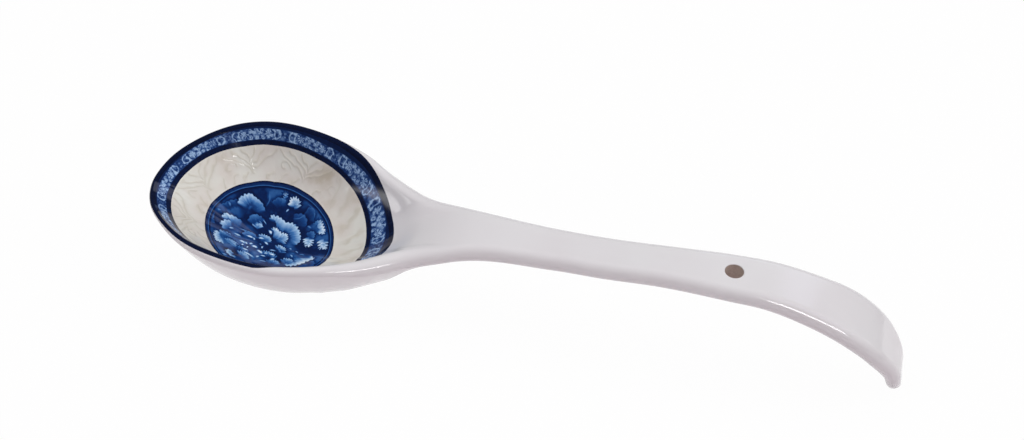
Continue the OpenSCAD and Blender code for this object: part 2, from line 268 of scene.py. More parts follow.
@dataclass(frozen=True)
class BowlForm:
    """Sizes of the bowl and neck, in millimetres, from the medallion's centre."""

    tip_reach: float = 34.4
    bowl_half: float = 29.0
    tip_height: float = 23.0
    side_height: float = 26.4
    dip_height: float = 22.9
    floor_height: float = 6.6
    floor_slope: float = 0.115
    tip_lip_r: float = 0.7
    lip_r: float = 1.5
    base_reach: float = 14.8
    base_grind: float = 1.2
    crease_reach: float = 41.5
    crease_height: float = 22.0
    crease_bow: float = 31.0
    crease_soft: float = 4.0
    neck_reach: float = 56.0
    neck_height: float = 25.4
    neck_w: float = 20.4
    neck_taper: float = 0.28
    neck_slope: float = 0.24
    handle_t: float = 5.8
    front_shares: tuple = ((0.982, 0.157, 0.1), (0.932, 0.332, 0.3), (0.734, 0.648, 0.72),
                           (0.494, 0.864, 0.93), (0.18, 0.985, 0.985))
    back_shares: tuple = ((0.142, 0.98, 0.73), (0.397, 0.761, 0.46), (0.559, 0.51, -0.11),
                          (0.785, 0.164, 0.02))
    lip_angles: tuple = (16, 19, 30, 48, 58, 64, 66, 60, 50, 28, 0)
    wall_angles: tuple = (16, 20, 31, 48, 58, 64, 64, 60, 53, 44, 46)
    under_angles: tuple = (30, 32, 38, 50, 61, 62, 64, 67, 64, 56, 15)
    swell_shares: tuple = (0.3, 0.74)
    turn_shares: tuple = (0.75, 1.0)
    thin_shares: tuple = (0.2, 0.95)

    @property
    def handle_r(self) -> float:
        """Half of the handle's thickness."""
        return self.handle_t / 2

    @property
    def neck_half(self) -> float:
        """Half width of the flat part of the neck's end."""
        return self.neck_w / 2 - self.handle_r

    @property
    def neck_way(self) -> Array:
        """Direction in which the lip runs into the handle."""
        return unit(np.array([1.0, -self.neck_taper, self.neck_slope]))

    def rim(self) -> SmoothPath:
        """Lay the lip's middle line through its design points.

        Returns:
            The line from the tip to the neck's end.
        """
        rows = [[-self.tip_reach, 0.0, self.tip_height]]
        for along, across, rise in self.front_shares:
            rows.append([-along * self.tip_reach, across * self.bowl_half,
                         mix(self.tip_height, self.side_height, rise)])
        for along, across, rise in self.back_shares:
            rows.append([along * self.neck_reach, mix(self.neck_half, self.bowl_half, across),
                         mix(self.dip_height, self.side_height, rise)])
        rows.append([self.neck_reach, self.neck_half, self.neck_height])
        return SmoothPath(np.array(rows), np.array([0.0, 1.0, 0.0]), self.neck_way)

    def lip_radius(self, x: Array) -> Array:
        """Grade the lip's radius from the tip over the sides to the handle.

        Args:
            x: Places along the spoon.

        Returns:
            The radius at each place.
        """
        back = mix(self.lip_r, self.handle_r, ramp(x / self.neck_reach, *self.swell_shares))
        front = mix(self.lip_r, self.tip_lip_r, ramp(-x / self.tip_reach, *self.thin_shares))
        return np.where(x < 0, front, back)


class BowlSurface:
    """The bowl's skin as columns: rays from the medallion's centre over the lip to the base."""

    RIM_SAMPLES = 4001
    SLOPE_STEPS = 200
    NORMAL_STEP = 0.02
    HALVINGS = 40
    NEAREST_GROUND = 0.05
    TINY = 1e-9

    def __init__(self, form: BowlForm, count: int) -> None:
        """Place the columns at even angles round the bowl.

        Args:
            form: Sizes of the bowl.
            count: How many columns go round, a multiple of 8.
        """
        self.form = form
        rim = form.rim()
        spans = len(rim.chords)
        table = np.linspace(0.0, spans, self.RIM_SAMPLES)
        tops = self._tops(rim, table)
        turns = math.pi - np.arctan2(tops[:, 1], tops[:, 0])
        corner = turns[-1]
        side = round(count / 2 * corner / math.pi)
        self.corner = side
        places = np.interp(np.linspace(0.0, corner, side + 1), turns, table)
        places[-1] = spans
        self.end_count = count - 2 * side - 1
        across = form.neck_half * (1 - 2 * np.arange(1, self.end_count + 1) / (self.end_count + 1))
        self.across = np.concatenate([[form.neck_half], across, [-form.neck_half]])
        self._assemble(rim, places)

    def _tops(self, rim: SmoothPath, places: Array) -> Array:
        """Find where the inner wall meets the lip.

        Args:
            rim: The lip's middle line.
            places: Places along it, counted in spans.

        Returns:
            One point for each place.
        """
        middle, outward, radius, lip, _, _ = self._lip_facts(rim, places)
        angle = np.radians(90 + lip)
        flat = middle[:, :2] + outward * (radius * np.cos(angle))[:, None]
        return np.column_stack([flat, middle[:, 2] + radius * np.sin(angle)])

    def _lip_facts(self, rim: SmoothPath, places: Array) -> tuple:
        """Read off the lip's section.

        Args:
            rim: The lip's middle line.
            places: Places along it, counted in spans.

        Returns:
            Middle, outward direction, radius, and the angles of lip, inner wall and outer wall.
        """
        form = self.form
        middle, slope = rim.at(places)
        outward = unit(np.column_stack([-slope[:, 1], slope[:, 0]]))
        turned = ramp(middle[:, 0] / form.neck_reach, *form.turn_shares)[:, None]
        outward = unit(mix(outward, np.array([0.0, 1.0]), turned))
        stops = np.arange(len(form.lip_angles))
        angles = [np.interp(places, stops, group)
                  for group in (form.lip_angles, form.wall_angles, form.under_angles)]
        return middle, outward, form.lip_radius(middle[:, 0]), *angles

    def _assemble(self, rim: SmoothPath, places: Array) -> None:
        """Join the two sides and the neck's end face into one round of columns.

        Args:
            rim: The lip's middle line.
            places: Places of one side's columns along it.
        """
        form = self.form
        middle, outward, radius, lip, wall, under = self._lip_facts(rim, places)
        ends = self.end_count
        face = np.column_stack([np.full(ends, form.neck_reach), self.across[1:-1],
                                np.full(ends, form.neck_height)])
        back = slice(-1, 0, -1)
        flipped = np.array([1.0, -1.0, 1.0])
        self.middle = np.concatenate([middle, face, middle[back] * flipped])
        self.outward = np.concatenate([outward, np.tile([0.0, 1.0], (ends, 1)),
                                       outward[back] * flipped[:2]])
        self.radius = np.concatenate([radius, np.full(ends, form.handle_r), radius[back]])
        self.lip = np.concatenate([lip, np.zeros(ends), lip[back]])
        self.wall = np.concatenate([wall, np.full(ends, wall[-1]), wall[back]])
        self.under = np.concatenate([under, np.full(ends, under[-1]), under[back]])
        self.is_end = np.zeros(len(self.radius), bool)
        self.is_end[len(middle):len(middle) + ends] = True
        self._measure()

    def _measure(self) -> None:
        """Work out each column's reach, crease and stretch."""
        form = self.form
        angle = np.radians(90 + self.lip)
        top = np.column_stack([self.middle[:, :2] + self.outward * (self.radius * np.cos(angle))[:, None],
                               self.middle[:, 2] + self.radius * np.sin(angle)])
        top[self.is_end] = self.middle[self.is_end] + np.array([0.0, 0.0, form.handle_r])
        self.top_z = top[:, 2]
        self.reach = np.hypot(top[:, 0], top[:, 1])
        self.way = top[:, :2] / self.reach[:, None]
        bend = form.crease_bow / form.bowl_half ** 2 * form.crease_reach
        x, y = self.way[:, 0], self.way[:, 1]
        run = 2 * form.crease_reach / (x + np.sqrt(x * x + 4 * bend * y * y) + self.TINY)
        share = np.clip((1 + (run - self.reach) / form.crease_soft) / 2, 0.0, 1.0)
        soft = mix(run, self.reach, share) - form.crease_soft * share * (1 - share)
        self.crease = np.where(x > 0, soft, self.reach)
        room = (form.neck_reach - form.crease_reach) / 2
        self.necked = ramp((self.reach - self.crease) / room, 0.0, 1.0)
        self.tan_wall = np.tan(np.radians(self.wall))
        free = self.top_z - self.tan_wall * (self.reach - self.crease)
        self.crease_z = mix(free, form.crease_height, self.necked)
        self.stretch = 1 / np.cos(np.radians(self.wall))
        sweep = self.radius * np.radians(180 + self.lip - self.under)
        sweep[self.is_end] = form.handle_t
        self.lip_end = self.reach + sweep / self.stretch

    def height(self, run: Array) -> Array:
        """Work out the inner surface: the dished floor and wall, then the top of the neck.

        Args:
            run: Distances from the centre, columns by rows.

        Returns:
            Heights, columns by rows.
        """
        form = self.form
        crease, crease_z = self.crease[:, None], self.crease_z[:, None]
        wall, top = self.tan_wall[:, None], self.top_z[:, None]
        necked = self.necked[:, None]
        past = run - crease
        room = np.maximum(self.reach[:, None] - crease, self.TINY)
        rise = (top - crease_z) / room
        bend = necked * (rise - form.neck_slope)
        soft = np.maximum(form.crease_soft * necked, self.TINY)
        inner = hermite(form.floor_height, crease_z, -form.floor_slope * self.way[:, :1] * crease,
                        wall * crease, run / crease)
        share = past / room
        outer = mix(crease_z, top, share) + bend * room * share * (1 - share)
        bare = np.where(past <= 0, inner, outer)
        eased = (wall - rise - bend) * (soft - np.abs(past)) ** 2 / soft / 4
        return np.where(np.abs(past) < form.crease_soft * necked, bare - eased, bare)

    def skin(self, run: Array, depth: float = 0.0) -> Array:
        """Return points of the top surface, sunk by a depth.

        Args:
            run: Distances from the centre, columns by rows; past the reach they go over the lip.
            depth: How far below the surface.

        Returns:
            Points, columns by rows by three.
        """
        form = self.form
        step = (self.crease / self.SLOPE_STEPS)[:, None]
        reach = self.reach[:, None]
        low = np.clip(np.maximum(run, step), 0.0, reach) - step
        slope = (self.height(low + step) - self.height(low)) / step
        drop = depth / np.sqrt(1 + slope * slope)
        far = run + slope * drop
        inner = np.stack([self.way[:, :1] * far, self.way[:, 1:] * far,
                          self.height(np.minimum(run, reach)) - drop], axis=-1)
        past = (run - reach) * self.stretch[:, None]
        angle = np.radians(90 + self.lip)[:, None] - past / self.radius[:, None]
        radius = self.radius[:, None] - depth
        out = self.outward[:, None, :] * (radius * np.cos(angle))[..., None]
        lip = np.concatenate([self.middle[:, None, :2] + out,
                              (self.middle[:, 2:3] + radius * np.sin(angle))[..., None]], axis=-1)
        fall = self.middle[:, 2:3] + form.handle_r - past
        face = np.stack([self.middle[:, :1] + 0 * run, self.middle[:, 1:2] + 0 * run, fall], axis=-1)
        outer = np.where(self.is_end[:, None, None], face, lip)
        return np.where((run <= reach)[..., None], inner, outer)

    def normals(self, run: Array) -> Array:
        """Work out the top surface's normals from close neighbours.

        Args:
            run: Distances from the centre, columns by rows.

        Returns:
            Unit normals that point up, columns by rows by three.
        """
        step = self.NORMAL_STEP
        along = self.skin(run + step) - self.skin(np.maximum(run - step, 0.0))
        here = self.skin(np.maximum(run, step))
        around = np.roll(here, -1, axis=0) - np.roll(here, 1, axis=0)
        normal = unit(np.cross(around, along))
        return np.where(normal[:1, :1, 2:3] < 0, -normal, normal)

    def outer(self, share: Array) -> Array:
        """Work out the outer wall.

        Args:
            share: Shares of the way from the lip's end to the base's middle, columns by rows.

        Returns:
            Points, columns by rows by three.
        """
        form = self.form
        start = self.skin(self.lip_end[:, None])[:, 0]
        base = np.array([form.base_reach, 0.0])
        away = start[:, :2] - base
        length = np.linalg.norm(away, axis=1)[:, None]
        flat = start[:, None, :2] - away[:, None, :] * share[..., None]
        lean = length * np.tan(np.radians(self.under))[:, None]
        height = hermite(-form.base_grind, start[:, 2:3], 0.0, lean, 1 - share)
        return np.concatenate([flat, height[..., None]], axis=-1)

    def ground_share(self) -> Array:
        """Close in on the place where each column of the outer wall meets the table.

        Returns:
            That place as a share of the wall, one for each column.
        """
        low = np.full(len(self.reach), self.NEAREST_GROUND)
        high = np.ones(len(self.reach))
        for _ in range(self.HALVINGS):
            middle = (low + high) / 2
            above = self.outer(middle[:, None])[:, 0, 2] > 0
            low = np.where(above, middle, low)
            high = np.where(above, high, middle)
        return (low + high) / 2


@dataclass(frozen=True)
class PrintForm:
    """Sizes of the print, in millimetres, from the medallion's centre."""

    depth: float = 0.3
    medal_d: float = 37.6
    relief_len: float = 57.0
    border_side: float = 3.8
    print_reach: float = 37.0
    spread_share: float = 1.092
    softness: float = 2.0
    power: float = 1.73
    wrap_angle: float = 96.0
    near_angle: float = 22.0
    near_shares: tuple = (0.12, 0.46)
    line_w: float = 2.1

    def medal_run(self, bowl: BowlSurface) -> Array:
        """Return the run of the medallion's edge on each column."""
        return np.full(len(bowl.reach), self.medal_d / 2)

    def relief_run(self, bowl: BowlSurface) -> Array:
        """Work out the relief ring's outer edge, an oval.

        Args:
            bowl: The surface it lies on.

        Returns:
            The edge's run on each column.
        """
        half = bowl.form.bowl_half - self.border_side
        across = np.abs(bowl.way) / np.array([self.relief_len / 2, half])
        return 1 / np.hypot(across[:, 0], across[:, 1])

    def print_run(self, bowl: BowlSurface) -> Array:
        """Work out the print's outer edge: over the lip in front, a soft oval toward the handle.

        On the side of negative y the print stops short of the lip's top toward the handle.

        Args:
            bowl: The surface it lies on.

        Returns:
            The edge's run on each column.
        """
        x, y = bowl.way[:, 0], bowl.way[:, 1]
        short = ramp(x, *self.near_shares) * (y < 0)
        angle = np.radians(mix(self.wrap_angle, self.near_angle, short))
        wrap = bowl.reach + bowl.radius * angle / bowl.stretch
        half = bowl.form.bowl_half * self.spread_share
        across = np.abs(bowl.way) / np.array([self.print_reach, half])
        oval = (across ** self.power).sum(axis=1) ** (-1 / self.power)
        share = np.clip((1 + (oval - wrap) / self.softness) / 2, 0.0, 1.0)
        soft = mix(oval, wrap, share) - self.softness * share * (1 - share)
        return np.where(x < 0, wrap, soft)

    def line_run(self, bowl: BowlSurface) -> Array:
        """Return the run of the dark edge line's inner side on each column."""
        return self.print_run(bowl) - self.line_w / bowl.stretch


# The handle


@dataclass(frozen=True)
class HandleForm:
    """Sizes of the handle and its hanging hole, in millimetres."""

    waist_w: float = 14.4
    blade_w: float = 20.2
    handle_reach: float = 187.5
    round_len: float = 22.0
    hook_angle: float = 62.0
    tip_point: float = 0.6
    tip_slim: float = 0.6
    edge_share: float = 0.95
    hole_d: float = 5.4
    hole_reach: float = 135.3
    hole_height: float = 30.0
    hole_round: float = 0.2
    arm_shares: tuple = ((0.22, -0.02, 0.909), (0.33, -0.05, 0.927), (0.455, -0.01, 0.974))
    hole_swell: float = 0.34
    blade_shares: tuple = ((0.68, 0.44, 0.998), (0.773, 0.68, 0.92), (0.871, 0.975, 0.762),
                           (0.935, 0.8, 0.559), (0.976, 0.59, 0.332))

    def spine(self, bowl: BowlForm) -> SmoothPath:
        """Lay the handle's middle line through its design points.

        Args:
            bowl: Sizes of the bowl that it joins.

        Returns:
            The line, with along, half width and height as its three numbers.
        """
        length = self.handle_reach - bowl.neck_reach

        def row(along: float, swell: float, rise: float) -> list[float]:
            """Return one design point from its shares."""
            return [bowl.neck_reach + along * length, mix(self.waist_w, self.blade_w, swell) / 2,
                    rise * self.hole_height]

        hook = math.radians(self.hook_angle)
        rows = [[bowl.neck_reach, bowl.neck_w / 2, bowl.neck_height]]
        rows += [row(*shares) for shares in self.arm_shares]
        rows.append([self.hole_reach, mix(self.waist_w, self.blade_w, self.hole_swell) / 2,
                     self.hole_height])
        rows += [row(*shares) for shares in self.blade_shares]
        end_height = bowl.handle_r * self.tip_slim * (1 - math.sin(hook))
        rows.append([self.handle_reach, self.blade_w / 2, end_height])
        return SmoothPath(np.array(rows), bowl.neck_way, np.array([math.cos(hook), 0.0, -math.sin(hook)]))


class HandleSurface:
    """The handle's skin: rounded sections set square to its middle line."""

    SPINE_SAMPLES = 1200
    UPRIGHT_LEN = 6.0

    def __init__(self, form: HandleForm, bowl: BowlForm) -> None:
        """Lay out the middle line by its own length.

        Args:
            form: Sizes of the handle.
            bowl: Sizes of the bowl that it joins.
        """
        self.form = form
        self.bowl = bowl
        spine = form.spine(bowl)
        points, _ = spine.at(np.linspace(0.0, len(spine.chords), self.SPINE_SAMPLES))
        steps = np.hypot(np.diff(points[:, 0]), np.diff(points[:, 2]))
        self.runs = np.concatenate([[0.0], np.cumsum(steps)])
        self.points = points
        self.length = float(self.runs[-1])
        self.cap_start = self.length - form.round_len
        self.hole_run = float(np.interp(form.hole_reach, points[:, 0], self.runs))

    def sizes(self, run: Array) -> tuple[Array, Array]:
        """Grade the section's size, narrowed and thinned toward the end.

        Args:
            run: Distances along the middle line.

        Returns:
            Half width and half thickness there.
        """
        half = np.interp(run, self.runs, self.points[:, 1])
        cap = np.clip((run - self.cap_start) / self.form.round_len, 0.0, 1.0)
        whole = self.bowl.handle_r
        end = whole * self.form.tip_slim
        thick = whole + (end - whole) * cap * cap
        tip = np.clip((run - self.length + end) / end, 0.0, 1.0)
        half = half * (1 - cap * cap) ** self.form.tip_point
        thick = thick * np.sqrt(np.maximum(0.0, 1 - tip * tip))
        return half, np.minimum(self.form.edge_share * half, thick)

    def place(self, run: Array, across: Array, up: Array) -> Array:
        """Return points at runs along, across and square to the handle.

        Args:
            run: Distances along the middle line.
            across: Distances to the side.
            up: Distances square to the middle line.

        Returns:
            Points in the bowl's frame.
        """
        reach = self.bowl.handle_r / 2
        low, high = np.maximum(run - reach, 0.0), np.minimum(run + reach, self.length)
        x, z = self.points[:, 0], self.points[:, 2]
        way = np.stack([np.interp(high, self.runs, x) - np.interp(low, self.runs, x),
                        np.interp(high, self.runs, z) - np.interp(low, self.runs, z)], axis=-1)
        way = unit(mix(np.array([1.0, 0.0]), unit(way), ramp(run, 0.0, self.UPRIGHT_LEN)[..., None]))
        return np.stack([np.interp(run, self.runs, x) - way[..., 1] * up, across,
                         np.interp(run, self.runs, z) + way[..., 0] * up], axis=-1)


# Porcelain body


@dataclass
class PorcelainBody:
    """The one fired piece: bowl, neck and handle in a single unbroken skin.

    The rows count the faces along each stretch of the skin, in the order in which they are laid. The
    stops, angles and rooms say where the rows of the base, the handle's start and the hole lie.
    """

    bowl: BowlSurface
    print_form: PrintForm
    handle: HandleSurface
    sunk_rows: int = 18
    plain_rows: int = 34
    lip_rows: int = 20
    outer_rows: int = 44
    arm_rows: int = 115
    hole_rows: int = 6
    blade_rows: int = 65
    cap_rows: int = 48
    even_room: float = 14.5
    turn_len: float = 8.0
    hole_room: float = 4.3
    hole_inset: float = 0.1
    ground_stops: tuple = (0.25, 0.5, 0.75)
    round_stops: tuple = (0.3, 0.6, 0.82, 1.0)
    edge_angles: tuple = (15, 30, 45, 60, 75, 90)
    bore_stops: tuple = (0.2, 0.4, 0.6, 0.8)
    draft: MeshDraft = field(default_factory=MeshDraft)
    edge_numbers: Array = field(init=False)
    edge_normals: Array = field(init=False)

    def build(self) -> bpy.types.Object:
        """Build the whole body.

        Returns:
            The porcelain object.
        """
        top = self._bowl_top()
        ring = self._outer_wall(top)
        self._handle(ring)
        piece = self.draft.build("spoon_porcelain", -self.bowl.form.base_reach)
        set_normals(piece, self.edge_numbers, self.edge_normals)
        return piece

    def _bowl_top(self) -> Array:
        """Add the skin from under the print, out to the lip and over it.

        Returns:
            Point numbers from the print's edge to the lip's end, rows by columns.
        """
        bowl, form, draft = self.bowl, self.print_form, self.draft
        edge = form.print_run(bowl)
        stops = np.linspace(0.0, 1.0, self.sunk_rows + 1)[1:]
        sunk = bowl.skin(edge[:, None] * stops[None, :], form.depth)
        under = draft.add_points(sunk).T
        centre = draft.add_points(np.array([[0.0, 0.0, bowl.form.floor_height - form.depth]]))
        draft.add_fan(under[0], int(centre[0]), flip=True)
        draft.add_cells(under, flip=True)
        reach, end = bowl.reach, bowl.lip_end
        share = ramp((reach - edge) / self.even_room, 0.0, 1.0)[:, None]
        plain = self.plain_rows
        count = plain + self.lip_rows
        steps = np.arange(count + 1)[None, :]
        even = mix(edge[:, None], end[:, None], steps / count)
        kept = np.where(steps <= plain, mix(edge[:, None], reach[:, None], steps / plain),
                        mix(reach[:, None], end[:, None], (steps - plain) / self.lip_rows))
        run = mix(even, kept, share)
        run[bowl.is_end] = kept[bowl.is_end]
        corners = [bowl.corner, bowl.corner + bowl.end_count + 1]
        run[corners] = kept[corners]
        top = draft.add_points(bowl.skin(run)).T
        self.edge_numbers = top[0]
        self.edge_normals = bowl.normals(run[:, :1])[:, 0]
        draft.add_cells(np.stack([under[-1], top[0]]), flip=True)
        rows = np.arange(count)[:, None]
        columns = np.arange(len(reach))[None, :]
        face = (rows >= plain) & (columns >= bowl.corner) & (columns <= bowl.corner + bowl.end_count)
        draft.add_cells(top, keep=~face, flip=True)
        return top

    def _outer_wall(self, top: Array) -> Array:
        """Add the outer wall and the ground base.

        Args:
            top: Point numbers of the skin from the print's edge to the lip's end.

        Returns:
            Point numbers of the ring at which the handle starts.
        """
        bowl, draft = self.bowl, self.draft
        ground = bowl.ground_share()[:, None]
        stops = np.linspace(0.0, 1.0, self.outer_rows + 1)[None, 1:]
        wall = bowl.outer(ground * stops)
        wall[:, -1, 2] = 0.0
        numbers = np.concatenate([top[-1:], draft.add_points(wall).T])
        draft.add_cells(numbers, flip=True)
        inside = bowl.outer(mix(ground, 1.0, np.array([self.ground_stops])))
        inside[..., 2] = 0.0
        rim = draft.add_points(wall[:, -1])
        base = np.concatenate([rim[None, :], draft.add_points(inside).T])
        draft.add_cells(base, flip=True, kind=Face.GROUND)
        middle = draft.add_points(np.array([[bowl.form.base_reach, 0.0, 0.0]]))
        draft.add_fan(base[-1], int(middle[0]), kind=Face.GROUND)
        first, last = bowl.corner, bowl.corner + bowl.end_count + 1
        upper = top[self.plain_rows, first:last + 1]
        down = top[self.plain_rows + 1:-1, last]
        lower = top[-1, first:last + 1][::-1]
        rise = top[self.plain_rows + 1:-1, first][::-1]
        return np.concatenate([upper, down, lower, rise])

    def _section(self, run: Array) -> tuple[Array, Array]:
        """Work out sections of the handle, matched to the neck's ring.

        Args:
            run: Distances along the handle, one for each section.

        Returns:
            Distances across and up of the points, sections by points round.
        """
        bowl = self.bowl
        half, thick = self.handle.sizes(run)
        shares = bowl.across / bowl.form.neck_half
        low = 90.0 - bowl.form.under_angles[-1]
        fall = mix(low, 90.0, ramp(run, 0.0, self.turn_len))[:, None]
        turn = np.arange(1, self.lip_rows)[None, :] / self.lip_rows
        angle = np.radians(90.0 - (90.0 + fall) * turn)
        last = np.radians(-fall)
        side = (half - thick)[:, None]
        thick = thick[:, None]
        lower_x = side * shares[None, ::-1]
        lower_y = np.repeat(-thick, len(shares), axis=1)
        ends = [0, len(shares) - 1]
        lower_y[:, ends] = thick * np.sin(last)
        lower_x[:, ends] += np.array([[-1.0, 1.0]]) * thick * np.cos(last)
        across = np.concatenate([side * shares[None, :], -side - thick * np.cos(angle), lower_x,
                                 (side + thick * np.cos(angle))[:, ::-1]], axis=1)
        up = np.concatenate([np.repeat(thick, len(shares), axis=1), thick * np.sin(angle), lower_y,
                             (thick * np.sin(angle))[:, ::-1]], axis=1)
        return across, up

    def _handle(self, ring: Array) -> None:
        """Add the handle from the neck's ring to its hooked end, with the hanging hole.

        Args:
            ring: Point numbers of the ring at which it starts.
        """
        handle, draft = self.handle, self.draft
        hole, room = handle.hole_run, self.hole_room
        arm = np.linspace(0.0, hole - room, self.arm_rows + 1)[1:]
        near = hole + np.linspace(-room, room, 2 * self.hole_rows + 1)[1:]
        blade = np.linspace(hole + room, handle.cap_start, self.blade_rows + 1)[1:]
        turn = np.sin(np.radians(np.linspace(0.0, 90.0, self.cap_rows + 1)))[1:-1]
        cap = handle.cap_start + handle.form.round_len * turn
        runs = np.concatenate([arm, near, blade, cap])
        across, up = self._section(runs)
        points = handle.place(np.repeat(runs[:, None], across.shape[1], axis=1), across, up)
        rows = np.concatenate([ring[None, :], draft.add_points(points)])
        first = len(arm)
        last = first + 2 * self.hole_rows
        flat = self.bowl.end_count + 2
        inset = max(2, round(flat * self.hole_inset))
        low = flat + self.lip_rows - 1
        keep = np.ones((len(rows) - 1, rows.shape[1]), bool)
        keep[first:last, inset:flat - 1 - inset] = False
        keep[first:last, low + inset:low + flat - 1 - inset] = False
        draft.add_cells(rows, keep=keep, flip=True)
        tip = handle.place(np.array([handle.length]), np.zeros(1), np.zeros(1))
        draft.add_fan(rows[-1], int(draft.add_points(tip)[0]))
        upper = self._loop(rows, first, last, inset, flat - 1 - inset)
        lower = self._loop(rows, first, last, low + flat - 1 - inset, low + inset)
        self._hole(upper, lower)

    def _loop(self, rows: Array, first: int, last: int, left: int, right: int) -> Array:
        """Walk round a rectangle of the handle's grid.

        Args:
            rows: Point numbers of the grid.
            first: Row at which it starts.
            last: Row at which it ends.
            left: Column at which it starts.
            right: Column at which it ends.

        Returns:
            The point numbers round it, in order.
        """
        step = 1 if right > left else -1
        top = rows[first, left:right:step]
        side = rows[first:last, right]
        back = rows[last, right:left:-step]
        rest = rows[last:first:-1, left]
        return np.concatenate([top, side, back, rest])

    def _hole(self, upper: Array, lower: Array) -> None:
        """Fill the two rectangles down to the rounded hole and join them by its bore.

        Args:
            upper: Point numbers round the rectangle on top.
            lower: The same below.
        """
        handle, draft = self.handle, self.draft
        form = handle.form
        everything = np.concatenate(draft.points)
        thick = self.bowl.form.handle_r
        rings = []
        for loop, side in ((upper, 1.0), (lower, -1.0)):
            edge = everything[loop]
            along = np.interp(edge[:, 0], handle.points[:, 0], handle.runs) - handle.hole_run
            turn = np.arctan2(edge[:, 1], along)
            wide = form.hole_d / 2 + form.hole_round
            circle = np.stack([wide * np.cos(turn), wide * np.sin(turn)], axis=-1)
            square = np.stack([along, edge[:, 1]], axis=-1)
            lift = np.full(len(turn), side * thick)
            group = [loop]
            for share in self.round_stops:
                spot = mix(square, circle, share)
                spot = handle.place(handle.hole_run + spot[:, 0], spot[:, 1], lift)
                group.append(draft.add_points(spot))
            for angle in np.radians(self.edge_angles):
                radius = form.hole_d / 2 + form.hole_round * (1 - math.sin(angle))
                spot = handle.place(handle.hole_run + radius * np.cos(turn), radius * np.sin(turn), lift)
                spot[:, 2] -= side * form.hole_round * (1 - math.cos(angle))
                group.append(draft.add_points(spot))
            rings.append(np.stack(group))
            draft.add_cells(rings[-1], flip=side > 0)
            everything = np.concatenate(draft.points)
        start, end = everything[rings[0][-1]], everything[rings[1][-1]]
        bore = [rings[0][-1]]
        for share in self.bore_stops:
            bore.append(draft.add_points(mix(start, end, share)))
        bore.append(rings[1][-1])
        draft.add_cells(np.stack(bore), flip=True, kind=Face.BORE)


# Print areas


@dataclass
class PrintArea:
    """One printed area let into the bowl: a thin layer between two runs of each column."""

    name: str
    bowl: BowlSurface
    inner: Array | None
    outer: Array
    rows: int
    depth: float
    low_rows: int = 6
    top: Array = field(init=False)
    total: int = field(init=False)

    def runs(self) -> Array:
        """Return the runs of the area's rows, columns by rows."""
        start = np.zeros_like(self.outer) if self.inner is None else self.inner
        return mix(start[:, None], self.outer[:, None], np.linspace(0.0, 1.0, self.rows + 1)[None, :])

    def build(self, lift: Array | None = None) -> bpy.types.Object:
        """Build the layer, with its shading normals taken from the surface itself.

        Args:
            lift: Heights to add along the normals, columns by rows, or None.

        Returns:
            The layer's object.
        """
        draft = MeshDraft()
        run = self.runs()
        normal = self.bowl.normals(run)
        points = self.bowl.skin(run)
        if lift is not None:
            points = points + normal * lift[..., None]
            normal = self._lifted(points, normal)
        if self.inner is None:
            run, points, normal = run[:, 1:], points[:, 1:], normal[:, 1:]
        top = draft.add_points(points).T
        every = max(1, self.rows // self.low_rows)
        low = draft.add_points(self.bowl.skin(run[:, ::every], self.depth)).T
        foot = draft.add_points(self.bowl.skin(run[:, -1:], self.depth)).T
        draft.add_cells(top, flip=True)
        draft.add_cells(np.concatenate([low, foot]))
        draft.add_cells(np.stack([top[-1], foot[0]]), flip=True)
        if self.inner is None:
            floor = self.bowl.form.floor_height
            middle = draft.add_points(np.array([[0.0, 0.0, floor], [0.0, 0.0, floor - self.depth]]))
            draft.add_fan(top[0], int(middle[0]), flip=True)
            draft.add_fan(low[0], int(middle[1]))
        else:
            draft.add_cells(np.stack([top[0], low[0]]))
        piece = draft.build(self.name, -self.bowl.form.base_reach)
        set_normals(piece, top.T, normal)
        self.top = top.T
        self.total = draft.count
        return piece

    def _lifted(self, points: Array, normal: Array) -> Array:
        """Work out the raised surface's normals, with the plain ones kept at both edges.

        Args:
            points: Points of the raised surface, columns by rows by three.
            normal: Normals of the plain surface.

        Returns:
            Normals of the raised surface.
        """
        around = np.roll(points, -1, axis=0) - np.roll(points, 1, axis=0)
        along = np.zeros_like(points)
        along[:, 1:-1] = points[:, 2:] - points[:, :-2]
        raised = unit(np.cross(around, along))
        raised = np.where((raised * normal).sum(-1, keepdims=True) < 0, -raised, raised)
        raised[:, [0, -1]] = normal[:, [0, -1]]
        return raised

    def store(self, piece: bpy.types.Object, name: str, values: Array) -> None:
        """Keep one number per point on the piece, for its material to read.

        Args:
            piece: The layer's object.
            name: Name of the attribute.
            values: Numbers for the rows of the top, columns by rows.
        """
        rows = values if self.inner is not None else values[:, 1:]
        whole = np.full(self.total, float(values.mean()))
        whole[self.top.ravel()] = rows.ravel()
        # Without an inner edge, the last two points are the middles of the top and the underside.
        if self.inner is None:
            whole[-2] = float(values[:, 0].mean())
        layer = piece.data.attributes.new(name, "FLOAT", "POINT")
        layer.data.foreach_set("value", whole.astype(np.float32))


# Painting


def hashed(number: Array, salt: float) -> Array:
    """Return an even, repeatable 0 to 1 number for each whole number."""
    value = np.sin(np.asarray(number, float) * 12.9898 + salt * 78.233) * 43758.5453
    return value - np.floor(value)


def clouds(x: Array, y: Array, scale: float, salt: float) -> Array:
    """Return smooth blotches from 0 to 1 over a flat field.

    Args:
        x: Places along.
        y: Places across.
        scale: Size of a blotch.
        salt: Picks one of many patterns.

    Returns:
        Values from 0 to 1.
    """
    u, v = x / scale, y / scale
    column, row = np.floor(u), np.floor(v)
    a, b = u - column, v - row
    a, b = a * a * (3 - 2 * a), b * b * (3 - 2 * b)

    def corner(i: int, j: int) -> Array:
        """Return the value at one corner of the cell."""
        return hashed((column + i) * 57.0 + (row + j) * 131.0, salt)

    low = mix(corner(0, 0), corner(1, 0), a)
    high = mix(corner(0, 1), corner(1, 1), a)
    return mix(low, high, b)


